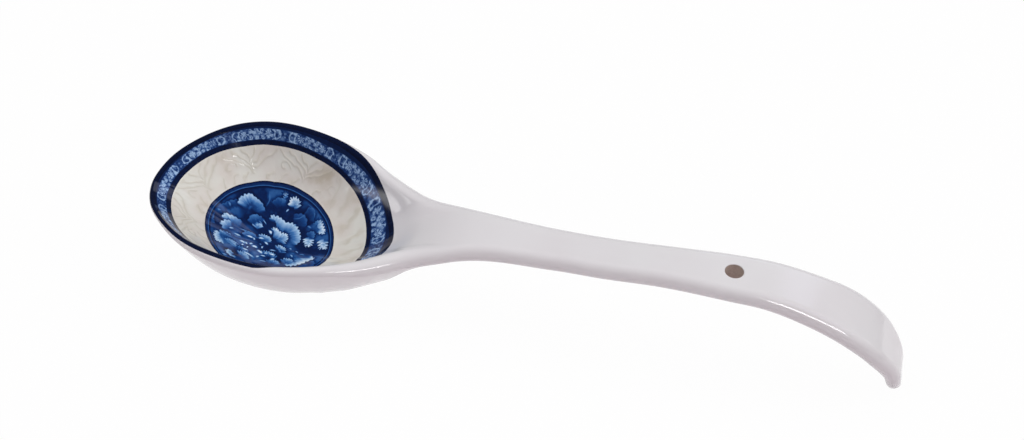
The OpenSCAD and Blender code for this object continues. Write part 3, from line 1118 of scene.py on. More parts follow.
def veil(x: Array, y: Array, scale: float, salt: float) -> Array:
    """Return blotches of three sizes added together, from 0 to 1, the largest of a given size."""
    return (clouds(x, y, scale, salt) * 0.55 + clouds(x, y, scale * 0.47, salt + 3) * 0.3
            + clouds(x, y, scale * 0.21, salt + 7) * 0.15)


def near_path(x: Array, y: Array, path: Array) -> tuple[Array, Array, Array]:
    """Return how places lie beside a line of points.

    Args:
        x: Places along.
        y: Places across.
        path: Points of the line, one row each.

    Returns:
        Distance, positive on the line's right side; length along the line; share of its length.
    """
    steps = np.diff(path, axis=0)
    lengths = np.hypot(steps[:, 0], steps[:, 1])
    starts = np.concatenate([[0.0], np.cumsum(lengths)])
    best = np.full(x.shape, 1e9)
    side = np.ones(x.shape)
    along = np.zeros(x.shape)
    for (ax, ay), (ux, uy), length, start in zip(path[:-1], steps, lengths, starts):
        px, py = x - ax, y - ay
        share = np.clip((px * ux + py * uy) / length ** 2, 0.0, 1.0)
        away = np.hypot(px - ux * share, py - uy * share)
        closer = away < best
        best = np.where(closer, away, best)
        side = np.where(closer, np.sign(uy * px - ux * py), side)
        along = np.where(closer, start + share * length, along)
    return best * side, along, along / starts[-1]


def bent(points: tuple, count: int) -> Array:
    """Return a smooth line through a few points.

    Args:
        points: The points, two numbers each.
        count: How many points the line gets.

    Returns:
        The line's points, one row each.
    """
    rows = np.array(points, float)
    first, last = unit(rows[1] - rows[0]), unit(rows[-1] - rows[-2])
    return SmoothPath(rows, first, last).at(np.linspace(0.0, len(rows) - 1, count))[0]


@dataclass(frozen=True)
class Crest:
    """The pale, toothed edge of a brushed petal, fading into the blue on its right side.

    Args:
        points: The edge's line, in millimetres from the medallion's centre.
        fade: Width of the fade.
        light: Tone at the line's start, middle and end.
        tooth: Length of one tooth.
        bite: Depth of the teeth.
        deep: Tone into which the edge fades.
    """

    points: tuple
    fade: float
    light: tuple
    tooth: float
    bite: float
    deep: float

    SAMPLES = 40
    SOFT_EDGE = 0.13
    SHADOW_W = 0.55
    SHADOW = 0.62

    def paint(self, x: Array, y: Array, tone: Array) -> Array:
        """Lay this petal over the picture.

        Args:
            x: Places along, in millimetres.
            y: Places across.
            tone: The picture so far.

        Returns:
            The picture with the petal.
        """
        away, along, share = near_path(x, y, bent(self.points, self.SAMPLES))
        salt = self.points[0][0] * 1.7 + self.points[0][1]
        count = along / self.tooth
        jag = np.abs(count - np.floor(count) - 0.5) * 2
        size = 0.45 + 0.9 * hashed(np.floor(count + 0.5), salt)
        ragged = clouds(along, 0 * along, 0.34, salt)
        edge = away - self.bite * (jag ** 1.3 * size + 0.45 * ragged)
        streak = clouds(along, away * 0.35, 0.42, salt + 1)
        width = self.fade * (1.15 + 0.3 * streak)
        depth = edge / width
        ends = ramp(share, 0.0, 0.07) * (1 - ramp(share, 0.93, 1.0))
        start, middle, end = self.light
        light = np.where(share < 0.5, mix(start, middle, share * 2), mix(middle, end, share * 2 - 1))
        light = light * (0.95 + 0.15 * clouds(along, away, 0.8, salt + 2))
        own = mix(light, self.deep, np.clip(depth, 0.0, 1.0) ** 0.8)
        over = np.clip(edge / self.SOFT_EDGE, 0.0, 1.0) * (1 - ramp(depth, 0.7, 1.15)) * ends
        shade = np.exp(-(np.minimum(edge, 0.0) / self.SHADOW_W) ** 2) * (edge < 0) * ends
        return mix(tone * (1 - self.SHADOW * shade), own, over)


@dataclass(frozen=True)
class Dab:
    """One short brush dab, white or blue, pointed at its ends.

    Args:
        place: Its middle, in millimetres from the medallion's centre.
        lean: Its direction in degrees.
        length: Its length.
        width: Its width.
        tone: Its tone, from 0 to 1.
    """

    place: tuple
    lean: float
    length: float
    width: float
    tone: float = 0.95

    CUP = 0.35
    RAGGED = 0.5
    SHADOW = 0.35

    def paint(self, x: Array, y: Array, tone: Array) -> Array:
        """Lay this dab over the picture.

        Args:
            x: Places along, in millimetres.
            y: Places across.
            tone: The picture so far.

        Returns:
            The picture with the dab.
        """
        angle = math.radians(self.lean)
        dx, dy = x - self.place[0], y - self.place[1]
        along = (dx * math.cos(angle) + dy * math.sin(angle)) / self.length * 2
        across = (-dx * math.sin(angle) + dy * math.cos(angle)) / self.width * 2
        across = across + self.CUP * along ** 2 + self.RAGGED * (clouds(dx, dy, 0.4, self.lean) - 0.5)
        spot = along ** 2 + across ** 2
        return mix(tone * (1 - self.SHADOW * np.exp(-spot / 5)), self.tone, np.exp(-spot ** 1.8))


@dataclass(frozen=True)
class Vein:
    """A thin line: the outline or the rib of a leaf.

    Args:
        points: Its line, in millimetres from the medallion's centre.
        width: Its half width.
        tone: Its tone, from 0 to 1.
    """

    points: tuple
    width: float = 0.16
    tone: float = 0.45

    SAMPLES = 24
    COVER = 0.8

    def paint(self, x: Array, y: Array, tone: Array) -> Array:
        """Lay this line over the picture.

        Args:
            x: Places along, in millimetres.
            y: Places across.
            tone: The picture so far.

        Returns:
            The picture with the line.
        """
        away, _, share = near_path(x, y, bent(self.points, self.SAMPLES))
        taper = np.sin(np.clip(share, 0.02, 0.98) * math.pi) ** 0.4
        return mix(tone, self.tone, self.COVER * (np.exp(-(away / self.width) ** 2) * taper))


@dataclass(frozen=True)
class Medallion:
    """The round flower picture in the middle of the bowl: peonies in brushed cobalt."""

    ground_tone: float = 0.09
    blotch_tone: float = 0.24
    painted_sheen_tone: float = 0.07
    deep_tone: float = 0.04
    ring_tone: float = 0.15
    hair_tone: float = 0.44
    hair_r: float = 17.75
    hair_w: float = 0.11
    picture_end: tuple = (16.9, 17.5)
    ring_start: tuple = (17.7, 17.9)
    ring_end: tuple = (18.35, 18.6)
    leaves: tuple = (
        Crest(((-16.5, 4.5), (-14.6, 7.6), (-12.4, 9.6)), 1.6, (0.3, 0.42, 0.3), 1.6, 0.3, 0.1),
        Crest(((6.2, 11.5), (8.2, 14.6), (10.3, 12.6), (10.4, 10.6)),
              1.5, (0.24, 0.36, 0.26), 2.0, 0.2, 0.12),
        Crest(((-3.6, 13.5), (-2.6, 14.9), (-1.0, 15.5), (0.8, 15.2)),
              2.2, (0.3, 0.4, 0.45), 1.4, 0.25, 0.08),
        Crest(((12.4, -4.4), (14.8, -4.6), (15.8, -7.2)), 1.6, (0.3, 0.4, 0.3), 1.6, 0.3, 0.12),
        Crest(((-16.6, 0.6), (-16.4, -1.4), (-15.4, -3.2)), 1.3, (0.24, 0.4, 0.3), 1.2, 0.2, 0.12),
    )
    petals: tuple = (
        Crest(((-12.6, 7.6), (-12.6, 9.9), (-11.6, 11.7), (-9.8, 13.1), (-7.6, 12.8), (-5.6, 12.0),
               (-3.9, 10.2)), 3.0, (0.75, 0.85, 0.4), 1.3, 0.45, 0.08),
        Crest(((-1.3, 15.0), (-0.6, 16.9), (0.7, 17.0), (1.2, 15.4)),
              1.7, (0.5, 0.85, 0.5), 0.6, 0.8, 0.14),
        Crest(((1.1, 13.6), (1.3, 16.2), (3.2, 16.9), (5.0, 16.0), (5.8, 13.8)),
              3.0, (1.0, 1.0, 0.7), 1.1, 0.9, 0.14),
        Crest(((9.8, 9.6), (11.4, 11.3), (12.9, 11.0), (14.2, 9.0), (15.4, 7.2), (14.8, 6.0),
               (12.2, 6.4)), 2.9, (0.3, 1.0, 0.9), 1.0, 0.8, 0.13),
        Crest(((-3.1, 7.8), (-2.6, 10.0), (-0.6, 10.4), (2.2, 9.4), (5.2, 9.2), (7.4, 6.8), (8.6, 3.6),
               (7.6, 0.6)), 3.6, (0.75, 0.9, 0.6), 1.25, 0.5, 0.13),
        Crest(((-1.8, 5.4), (-0.5, 6.6), (1.6, 5.6), (4.2, 4.9), (5.0, 3.0), (4.6, 0.4)),
              2.6, (0.9, 0.95, 0.6), 0.8, 0.75, 0.24),
        Crest(((-7.1, 3.9), (-6.4, 5.5), (-4.6, 6.0), (-3.2, 5.0)),
              2.0, (0.95, 1.0, 0.8), 1.2, 0.35, 0.22),
        Crest(((-15.3, 0.4), (-14.6, 2.7), (-12.6, 3.6), (-9.2, 3.6)),
              2.6, (0.85, 0.95, 0.3), 1.3, 0.4, 0.18),
        Crest(((-13.2, -3.6), (-14.9, -1.8), (-13.8, 0.6), (-12.2, 1.4)),
              2.4, (0.5, 0.9, 0.6), 1.4, 0.4, 0.2),
        Crest(((-11.0, -9.0), (-13.6, -9.6), (-15.0, -7.6), (-15.4, -5.4), (-13.6, -4.5)),
              2.6, (0.8, 1.0, 0.8), 0.9, 0.7, 0.24),
        Crest(((-6.4, -12.6), (-8.6, -12.6), (-10.3, -11.2), (-9.4, -9.6), (-7.4, -10.2)),
              2.0, (0.6, 0.95, 0.6), 1.3, 0.4, 0.2),
        Crest(((12.9, 4.4), (12.2, 1.4), (10.2, 0.9), (8.4, 4.2)),
              3.0, (0.9, 1.0, 0.9), 0.9, 1.1, 0.14),
        Crest(((17.6, 4.0), (17.0, 0.9), (14.6, 0.7), (12.8, 3.8)),
              3.2, (0.9, 1.0, 0.95), 1.0, 1.1, 0.14),
        Crest(((13.0, -2.0), (14.8, -3.0), (13.2, -5.4), (11.2, -7.4), (8.6, -8.6), (6.2, -8.4)),
              3.6, (0.85, 1.0, 0.7), 1.4, 0.5, 0.18),
        Crest(((4.4, -10.0), (5.0, -12.6), (2.6, -14.4), (0.4, -13.4)),
              2.6, (0.8, 0.95, 0.7), 1.1, 0.5, 0.16),
        Crest(((-8.6, 4.2), (-8.0, 7.0), (-5.4, 8.4), (-3.4, 7.4)),
              2.2, (0.3, 0.5, 0.3), 1.4, 0.35, 0.14),
        Crest(((3.6, 12.2), (6.4, 12.6), (8.4, 11.0), (8.8, 8.4)),
              2.6, (0.3, 0.36, 0.3), 1.6, 0.3, 0.1),
        Crest(((9.0, 6.2), (10.8, 7.4), (12.4, 6.2), (12.2, 4.4)),
              2.0, (0.3, 0.5, 0.4), 1.2, 0.4, 0.14),
        Crest(((-8.6, -1.2), (-7.6, 0.8), (-5.4, 1.4), (-3.4, 0.4)),
              2.0, (0.4, 0.6, 0.3), 1.2, 0.4, 0.16),
        Crest(((-14.4, -4.0), (-12.6, -3.2), (-9.6, -3.4)), 1.5, (0.7, 0.8, 0.3), 1.0, 0.5, 0.18),
        Crest(((-9.4, -6.0), (-7.2, -5.4), (-4.8, -6.2), (-3.4, -7.6)),
              1.6, (0.5, 0.75, 0.5), 0.8, 0.6, 0.2),
        Crest(((-2.6, -4.4), (-0.6, -3.4), (2.2, -3.4), (4.2, -4.6)),
              1.7, (0.6, 0.85, 0.6), 0.8, 0.7, 0.22),
        Crest(((4.4, -5.4), (6.4, -4.4), (8.4, -4.8), (9.6, -6.4)),
              1.9, (0.5, 0.8, 0.5), 0.9, 0.6, 0.2),
        Crest(((0.6, -7.4), (2.2, -6.2), (4.4, -6.4), (5.8, -7.8)),
              1.6, (0.5, 0.8, 0.5), 0.8, 0.6, 0.2),
        Crest(((-1.2, -11.2), (-1.0, -14.0), (-3.4, -15.0), (-5.4, -13.6)),
              2.4, (0.7, 0.9, 0.7), 1.1, 0.5, 0.16),
        Crest(((-4.4, 1.6), (-2.6, 2.8), (-0.2, 2.2), (0.8, 0.4)),
              2.2, (0.6, 0.85, 0.6), 0.9, 0.6, 0.2),
        Crest(((1.4, -0.4), (3.2, 0.4), (5.2, -0.6), (6.0, -2.6)), 2.0, (0.6, 0.9, 0.6), 0.8, 0.6, 0.2),
        Crest(((-12.2, -6.2), (-10.8, -5.0), (-8.6, -5.4), (-7.6, -7.2)),
              1.8, (0.6, 0.9, 0.6), 0.8, 0.6, 0.22),
        Crest(((-7.8, -8.2), (-6.0, -7.2), (-3.8, -8.2), (-3.0, -10.0)),
              1.8, (0.6, 0.9, 0.6), 0.8, 0.6, 0.22),
        Crest(((7.8, -9.6), (10.2, -9.2), (11.8, -11.0), (11.2, -12.8)),
              2.2, (0.6, 0.9, 0.6), 0.9, 0.6, 0.2),
    )
    dabs: tuple = (
        Dab((-5.9, -0.6), 10, 2.0, 0.6), Dab((-4.6, -0.7), -60, 0.9, 0.5),
        Dab((-7.2, -3.7), 0, 1.7, 0.7), Dab((-6.1, -3.6), -40, 0.9, 0.5),
        Dab((-6.9, -4.9), 60, 0.8, 0.4), Dab((-4.9, -3.0), 30, 1.0, 0.6),
        Dab((-3.6, -3.5), 0, 1.7, 0.8), Dab((-2.3, -1.9), -50, 0.9, 0.5, 0.7),
        Dab((-1.6, -2.6), 80, 1.2, 0.5), Dab((-5.4, -4.9), 70, 0.7, 0.4),
        Dab((-1.6, -4.7), -20, 1.9, 0.8), Dab((0.1, -4.6), 20, 1.1, 0.6),
        Dab((1.9, -4.4), -6, 1.9, 0.55), Dab((-4.2, -7.6), -14, 3.4, 0.7, 0.85),
        Dab((-1.7, -7.0), 50, 1.1, 0.6, 0.8), Dab((0.2, -8.4), 10, 2.4, 0.5, 0.6),
        Dab((2.6, -6.4), 30, 1.5, 0.8, 0.85), Dab((5.8, -5.1), 70, 0.8, 0.4, 0.7),
        Dab((7.6, -3.4), -50, 1.3, 0.5, 0.7), Dab((8.6, -1.3), -40, 1.1, 0.5, 0.8),
        Dab((-3.6, 6.7), -40, 1.7, 0.35, 0.6), Dab((-4.6, 6.0), -30, 1.5, 0.3, 0.5),
        Dab((-1.0, 4.0), -50, 1.5, 0.8), Dab((1.7, 12.5), 60, 1.1, 0.4, 0.8),
        Dab((-9.4, -5.6), 2, 3.4, 0.5, 0.6), Dab((-9.8, -7.0), -6, 3.0, 0.4, 0.5),
        Dab((-8.0, 0.6), 14, 2.8, 0.4, 0.5), Dab((-16.2, 2.4), 40, 1.0, 0.7, 0.5),
        Dab((-14.2, 6.4), -50, 1.3, 0.6, 0.5), Dab((9.6, 8.6), -30, 1.5, 0.5, 0.5),
        Dab((6.4, -0.4), -30, 0.9, 0.5, 0.6), Dab((10.4, -2.2), 0, 1.6, 0.4, 0.5),
        Dab((-8.8, 8.9), 70, 1.6, 0.9, 0.3), Dab((-2.9, 0.6), 20, 1.6, 0.6, 0.85),
        Dab((-0.9, -0.6), -30, 1.4, 0.6, 0.9), Dab((1.6, -2.6), 10, 1.8, 0.6, 0.85),
        Dab((3.6, -2.2), -40, 1.2, 0.6, 0.8), Dab((-9.2, -2.2), 6, 2.0, 0.5, 0.8),
        Dab((-11.4, -1.2), 30, 1.3, 0.5, 0.7), Dab((-5.6, -6.2), 10, 1.6, 0.5, 0.85),
        Dab((-0.4, -6.0), 4, 1.6, 0.5, 0.85), Dab((12.4, -9.4), -40, 1.4, 0.6, 0.7),
        Dab((7.6, -12.6), 20, 1.6, 0.7, 0.7), Dab((-9.6, -13.4), 30, 1.4, 0.6, 0.6),
    )
    veins: tuple = (
        Vein(((-4.7, 15.6), (-4.2, 13.8), (-4.6, 11.6))),
        Vein(((7.4, 15.1), (9.8, 13.5), (10.4, 11.6))), Vein(((4.2, 10.5), (5.8, 10.9), (7.2, 12.2))),
        Vein(((-17.4, -2.0), (-12.0, -3.9), (-4.5, -2.2), (4.0, -2.2), (10.4, -1.0)), 0.3, 0.07),
        Vein(((-13.0, 13.0), (-10.6, 15.0), (-7.4, 16.4)), 0.5, 0.22),
        Vein(((5.6, -14.6), (9.6, -12.2), (12.8, -9.8))),
        Vein(((-12.0, -12.6), (-8.0, -14.8), (-4.0, -16.4))),
    )

    def tone(self, x: Array, y: Array) -> Array:
        """Return the picture's tone at places of the medallion.

        Args:
            x: Millimetres along the spoon from the centre.
            y: Millimetres across it.

        Returns:
            Tone from 0, deepest blue, to 1, white.
        """
        radius = np.hypot(x, y)
        blotches = ramp(veil(x + 0.5 * y, y - 0.5 * x, 6.0, 2.0), 0.34, 0.7)
        tone = self.ground_tone + self.blotch_tone * blotches
        for group in (self.leaves, self.petals, self.dabs, self.veins):
            for stroke in group:
                tone = stroke.paint(x, y, tone)
        # Painted sheen: a pale veil over the picture's lower left that stands in for a reflection in the
        # glaze.
        painted_sheen = ramp(veil(x * 0.35 + y, y * 0.6, 3.0, 6.0), 0.35, 0.7) * ramp(-x - 0.4 * y, -6.0, 6.0)
        return self._ring(radius, tone + self.painted_sheen_tone * painted_sheen * (1 - tone))

    def _ring(self, radius: Array, tone: Array) -> Array:
        """Lay the ring round the picture: deep, pale hairline, blue, deep.

        Args:
            radius: Distance of each place from the centre.
            tone: The picture so far.

        Returns:
            The whole medallion's tone.
        """
        tone = mix(tone, self.deep_tone, ramp(radius, *self.picture_end))
        tone = mix(tone, self.ring_tone, ramp(radius, *self.ring_start))
        hairline = np.exp(-((radius - self.hair_r) / self.hair_w) ** 2)
        tone = np.maximum(tone, self.hair_tone * hairline)
        return np.clip(mix(tone, self.deep_tone, ramp(radius, *self.ring_end)), 0.0, 1.0)


@dataclass(frozen=True)
class LaceBorder:
    """The blue border: plain line, mottled lace in mirrored units, plain band, pale hairline.

    The figures are given by their place along and their size: the bracket by radius and end, the
    bar by half length and foot, the star by inner and outer radius, and each scroll by its place
    across, radius and turn.
    """

    units: int = 11
    half_unit: float = 8.5
    inner_line: float = 1.6
    lace_w: float = 3.6
    lace_tip: float = 3.0
    lace_wide: float = 5.4
    drawn_half: float = 1.75
    stroke: float = 0.19
    ground_tone: float = 0.08
    lace_tone: float = 0.16
    line_tone: float = 0.03
    hair_tone: float = 0.3
    hair_gap: float = 1.1
    hair_w: float = 0.16
    bracket: tuple = (2.7, 1.4, 2.5)
    bar: tuple = (3.2, 1.25, 0.55)
    gap_dot: tuple = (0.6, 0.24)
    star: tuple = (4.9, 0.9, 1.3)
    scrolls: tuple = ((6.5, 0.85, 0.7, 0.6), (6.5, -0.85, 0.7, -0.6), (7.7, 0.1, 0.6, 2.0),
                      (8.5, 0.9, 0.55, 1.5), (8.5, -0.9, 0.55, -1.5))

    def tone(self, bowl: BowlSurface, arc: Array, around: Array, width: Array) -> Array:
        """Return the border's tone.

        Args:
            bowl: The surface it lies on.
            arc: Millimetres out from the relief ring, columns by rows.
            around: Share of the way round, one for each column.
            width: Millimetres across the whole border at each column.

        Returns:
            Tone from 0, deepest blue, to 1, white.
        """
        toward = bowl.way[:, 0]
        wide = mix(self.lace_w, self.lace_wide, ramp(toward, 0.3, 0.9))
        wide = mix(wide, self.lace_tip, ramp(-toward, 0.4, 1.0))[:, None]
        across = (arc - self.inner_line) / wide
        place = (around * self.units)[:, None] + 0 * arc
        shaken = clouds(place * 17, arc, 0.8, 4.0) - 0.5
        reach = np.abs(place - np.floor(place) - 0.5) * 2 * self.half_unit + 0.6 * shaken
        height = (across - 0.5) * 2 * self.drawn_half + 0.6 * (clouds(place * 17, arc, 0.9, 9.0) - 0.5)
        inside = ramp(across, -0.01, 0.05) * (1 - ramp(across, 0.95, 1.01))
        grain = veil(place * 17, arc, 0.8, 5.0)
        fine = ramp(veil(place * 34, arc * 2, 0.8, 7.0), 0.42, 0.66)
        drawn = self._figures(reach, height) * (0.4 + 1.2 * grain)
        lace = drawn + 0.4 * ramp(grain, 0.42, 0.75) + 0.3 * fine
        lace = lace * (0.55 + 0.45 * ramp(reach, 0.2, 1.0))
        tone = mix(self.ground_tone, self.lace_tone + 0.78 * np.clip(lace, 0.0, 1.0), inside)
        tone = mix(tone, self.line_tone, ramp(-across, 0.0, 0.06))
        past = width[:, None] - arc
        hair = np.exp(-((past - self.hair_gap) / self.hair_w) ** 2) * ramp(toward, 0.2, 0.6)[:, None]
        return np.clip(np.maximum(tone, self.hair_tone * hair), 0.0, 1.0)

    def _figures(self, reach: Array, height: Array) -> Array:
        """Return the drawn lace: dots, bracket, bar with feet, star and leaf scrolls.

        Args:
            reach: Millimetres along from the nearest gap.
            height: Millimetres across from the lace's middle.

        Returns:
            Strength of the line from 0 to 1.
        """
        flat = np.abs(height)
        place, radius, end = self.bracket
        arc = np.hypot(reach - place, height)
        line = np.exp(-((arc - radius) / self.stroke) ** 2) * (reach < end)
        place, half, foot = self.bar
        beside = reach - place
        line = np.maximum(line, np.exp(-(beside / self.stroke) ** 2) * (flat < half))
        feet = np.exp(-((flat - half) / self.stroke) ** 2) * (np.abs(beside) < foot)
        line = np.maximum(line, feet)
        level, radius = self.gap_dot
        line = np.maximum(line, np.exp(-(np.hypot(reach, flat - level) / radius) ** 2))
        place, full, outer = self.star
        away = np.hypot(reach - place, height)
        rays = np.abs(np.cos(np.arctan2(height, reach - place) * 4)) ** 2
        line = np.maximum(line, rays * (1 - ramp(away, full, outer)))
        for along, level, radius, turn in self.scrolls:
            gap = np.hypot(reach - along, height - level)
            angle = np.arctan2(height - level, reach - along) - turn
            swirl = np.exp(-((gap - radius * (0.8 + 0.2 * np.cos(angle))) / 0.17) ** 2)
            line = np.maximum(line, swirl * (0.55 + 0.45 * np.cos(angle)))
            line = np.maximum(line, 0.9 * np.exp(-(gap / 0.28) ** 2))
        return line


@dataclass(frozen=True)
class ScrollRelief:
    """Faint raised arches and veins of the pale ring, in repeated units round the bowl."""

    units: int = 9
    height: float = 0.08
    line_w: float = 0.26
    arches: tuple = ((0.46, 0.26), (0.3, 0.42), (0.13, 0.6))
    stems: tuple = (-0.2, 0.06, 0.3)
    samples: int = 18
    wobble: float = 0.1
    swell: float = 0.35
    swell_w: float = 3.2
    vein_height: float = 1.1

    def curves(self) -> list[Array]:
        """Draw one unit: arches one in another, a curl and three short stems.

        Returns:
            Its lines, as points of share round and share across.
        """
        turn = np.linspace(0.0, 1.0, self.samples)
        spread = turn * turn * (3 - 2 * turn)
        lines = []
        for half, tip in self.arches:
            for side in (-1.0, 1.0):
                lines.append(np.stack([0.5 + side * half * spread, mix(tip, 0.98, turn)], axis=-1))
        angle = turn * 4.6
        grow = 1 - 0.75 * turn
        curl = [0.08 + 0.13 * grow * np.cos(angle), 0.5 + 0.2 * grow * np.sin(angle)]
        lines.append(np.stack(curl, axis=-1))
        for lean in self.stems:
            lines.append(np.stack([lean + 0.1 * turn ** 2, mix(0.06, 0.3, turn)], axis=-1))
        return lines

    def lift(self, around: Array, share: Array, unit_w: Array, across_w: Array, fan: Array) -> Array:
        """Return the raised height over the ring.

        Args:
            around: Share of the way round, one for each column.
            share: Share across the ring, one for each row.
            unit_w: Millimetres round one unit at each place, columns by rows.
            across_w: Millimetres across the ring at each column.
            fan: Strength of the fan of straight veins, one for each column.

        Returns:
            Heights in millimetres, columns by rows.
        """
        place = around * self.units
        place = (place - np.floor(place))[:, None] + 0 * share[None, :]
        level = share[None, :] + 0 * place
        shaken = clouds(place * 3 + around[:, None] * 40, level * 3, 0.6, 8.0) - 0.5
        place = place + self.wobble * shaken
        near = np.full(place.shape, 9.0)
        for line in self.curves():
            for (ax, ay), (bx, by) in zip(line[:-1], line[1:]):
                ux, uy = (bx - ax) * unit_w, (by - ay) * across_w[:, None]
                offset = place - ax
                px, py = (offset - np.round(offset)) * unit_w, (level - ay) * across_w[:, None]
                share_on = np.clip((px * ux + py * uy) / (ux * ux + uy * uy + 1e-9), 0.0, 1.0)
                near = np.minimum(near, np.hypot(px - ux * share_on, py - uy * share_on))
        ridge = np.exp(-(near / self.line_w) ** 2)
        swell = self.swell * np.exp(-(near / (self.line_w * self.swell_w)) ** 2)
        curl = 1.6 * level + 1.2 * clouds(place + 7, level, 0.5, 3.0)
        veins = np.abs(np.cos(place * math.pi * 3 + curl)) ** 7 * ramp(level, 0.1, 0.5)
        raised = mix(ridge + swell, self.vein_height * veins, fan[:, None])
        edge = ramp(level, 0.0, 0.08) * (1 - ramp(level, 0.93, 1.0))
        return self.height * raised * edge


# Finishes


class Nodes:
    """Short way to lay out a material's nodes."""

    def __init__(self, name: str) -> None:
        """Start a material with a glossy surface shader.

        Args:
            name: Name of the material.
        """
        self.material = bpy.data.materials.new(name)
        self.material.use_nodes = True
        self.tree = self.material.node_tree
        self.shader = self.tree.nodes["Principled BSDF"]

    def add(self, kind: str, **values: object) -> bpy.types.Node:
        """Add a node.

        Args:
            kind: Its type's name.
            values: Its own properties.

        Returns:
            The node.
        """
        node = self.tree.nodes.new(kind)
        for key, value in values.items():
            setattr(node, key, value)
        return node

    def link(self, source: bpy.types.NodeSocket, target: bpy.types.NodeSocket) -> None:
        """Join one socket to another."""
        self.tree.links.new(source, target)

    def noise(self, scale: float, detail: float = 3.0) -> bpy.types.NodeSocket:
        """Add noise that is fixed to the object.

        Args:
            scale: How fine it is.
            detail: How many finer layers it has.

        Returns:
            The socket of its value.
        """
        place = self.add("ShaderNodeTexCoord")
        node = self.add("ShaderNodeTexNoise")
        node.inputs["Scale"].default_value = scale
        node.inputs["Detail"].default_value = detail
        self.link(place.outputs["Object"], node.inputs["Vector"])
        return node.outputs["Fac"]

    def ramp(self, value: bpy.types.NodeSocket, stops: tuple) -> bpy.types.NodeSocket:
        """Turn a value into a colour or a grey.

        Args:
            value: Socket of the value.
            stops: Pairs of place and colour.

        Returns:
            The socket of the colour.
        """
        node = self.add("ShaderNodeValToRGB")
        elements = node.color_ramp.elements
        while len(elements) > 1:
            elements.remove(elements[-1])
        elements[0].position, elements[0].color = stops[0][0], (*stops[0][1], 1.0)
        for place, colour in stops[1:]:
            elements.new(place).color = (*colour, 1.0)
        self.link(value, node.inputs["Fac"])
        return node.outputs["Color"]

    def mixed(self, factor: bpy.types.NodeSocket, first: bpy.types.NodeSocket,
              second: bpy.types.NodeSocket) -> bpy.types.NodeSocket:
        """Mix two colours.

        Args:
            factor: Socket of the second colour's share.
            first: Socket of the first colour.
            second: Socket of the second colour.

        Returns:
            The socket of the mixed colour.
        """
        node = self.add("ShaderNodeMix", data_type="RGBA")
        self.link(factor, node.inputs[0])
        self.link(first, node.inputs[6])
        self.link(second, node.inputs[7])
        return node.outputs[2]

    def uneven_gloss(self, scale: float, smooth: float, dull: float) -> None:
        """Let the shader's roughness wander between a smooth and a dull value, in patches."""
        rough = self.ramp(self.noise(scale), ((0.3, (smooth,) * 3), (0.7, (dull,) * 3)))
        self.link(rough, self.shader.inputs["Roughness"])

    def bump(self, height: bpy.types.NodeSocket, strength: float, distance: float) -> None:
        """Give the shader a fine bump.

        Args:
            height: Socket of the height.
            strength: How strong it is.
            distance: Height of the bump in metres.
        """
        node = self.add("ShaderNodeBump")
        node.inputs["Strength"].default_value = strength
        node.inputs["Distance"].default_value = distance
        self.link(height, node.inputs["Height"])
        self.link(node.outputs["Normal"], self.shader.inputs["Normal"])


def linear(red: int, green: int, blue: int) -> tuple[float, float, float]:
    """Return a screen colour, in parts from 0 to 255, as linear light from 0 to 1."""
    return tuple((c / 255 / 12.92) if c <= 10 else ((c / 255 + 0.055) / 1.055) ** 2.4
                 for c in (red, green, blue))


@dataclass(frozen=True)
class GlazeFinish:
    """Clear glaze over white porcelain, slightly uneven in tint and gloss."""

    name: str = "glazed_porcelain"
    pale: tuple = (226, 225, 227)
    shade: tuple = (222, 219, 222)
    roughness: float = 0.1
    ior: float = 1.52

    def build(self) -> bpy.types.Material:
        """Build the material.

        Returns:
            A glossy white porcelain material.
        """
        nodes = Nodes(self.name)
        colour = nodes.ramp(nodes.noise(38.0), ((0.3, linear(*self.shade)), (0.7, linear(*self.pale))))
        nodes.link(colour, nodes.shader.inputs["Base Color"])
        nodes.uneven_gloss(150.0, self.roughness * 0.8, self.roughness * 1.3)
        nodes.shader.inputs["IOR"].default_value = self.ior
        nodes.bump(nodes.noise(260.0, 2.0), 0.05, 0.0002)
        return nodes.material


@dataclass(frozen=True)
class GroundFinish:
    """Bare porcelain of the ground base or the hole's bore, dry and finely grained; the bore is given
    darker colours as painted shade.
    """

    name: str = "ground_foot"
    pale: tuple = (214, 208, 202)
    shade: tuple = (192, 184, 176)
    roughness: float = 0.72

    def build(self) -> bpy.types.Material:
        """Build the material.

        Returns:
            A matt off-white material.
        """
        nodes = Nodes(self.name)
        grain = nodes.noise(2400.0, 4.0)
        colour = nodes.ramp(grain, ((0.3, linear(*self.shade)), (0.65, linear(*self.pale))))
        nodes.link(colour, nodes.shader.inputs["Base Color"])
        nodes.shader.inputs["Roughness"].default_value = self.roughness
        nodes.bump(grain, 0.4, 0.0001)
        return nodes.material


@dataclass(frozen=True)
class BrushedBlueFinish:
    """Cobalt under the glaze: a painted tone becomes blue of its depth."""

    name: str
    stops: tuple
    roughness: float = 0.09
    ior: float = 1.5
    mottle: float = 0.1

    def build(self) -> bpy.types.Material:
        """Build the material.

        Returns:
            A glossy blue-and-white material driven by the stored tone.
        """
        nodes = Nodes(self.name)
        tone = nodes.add("ShaderNodeAttribute", attribute_name="tone")
        soft = nodes.add("ShaderNodeMath", operation="MULTIPLY_ADD")
        nodes.link(nodes.noise(900.0), soft.inputs[0])
        soft.inputs[1].default_value = self.mottle
        shift = nodes.add("ShaderNodeMath", operation="SUBTRACT")
        nodes.link(tone.outputs["Fac"], shift.inputs[0])
        shift.inputs[1].default_value = self.mottle / 2
        nodes.link(shift.outputs[0], soft.inputs[2])
        stops = tuple((place, linear(*colour)) for place, colour in self.stops)
        nodes.link(nodes.ramp(soft.outputs[0], stops), nodes.shader.inputs["Base Color"])
        nodes.uneven_gloss(220.0, self.roughness * 0.8, self.roughness * 1.4)
        nodes.shader.inputs["IOR"].default_value = self.ior
        return nodes.material


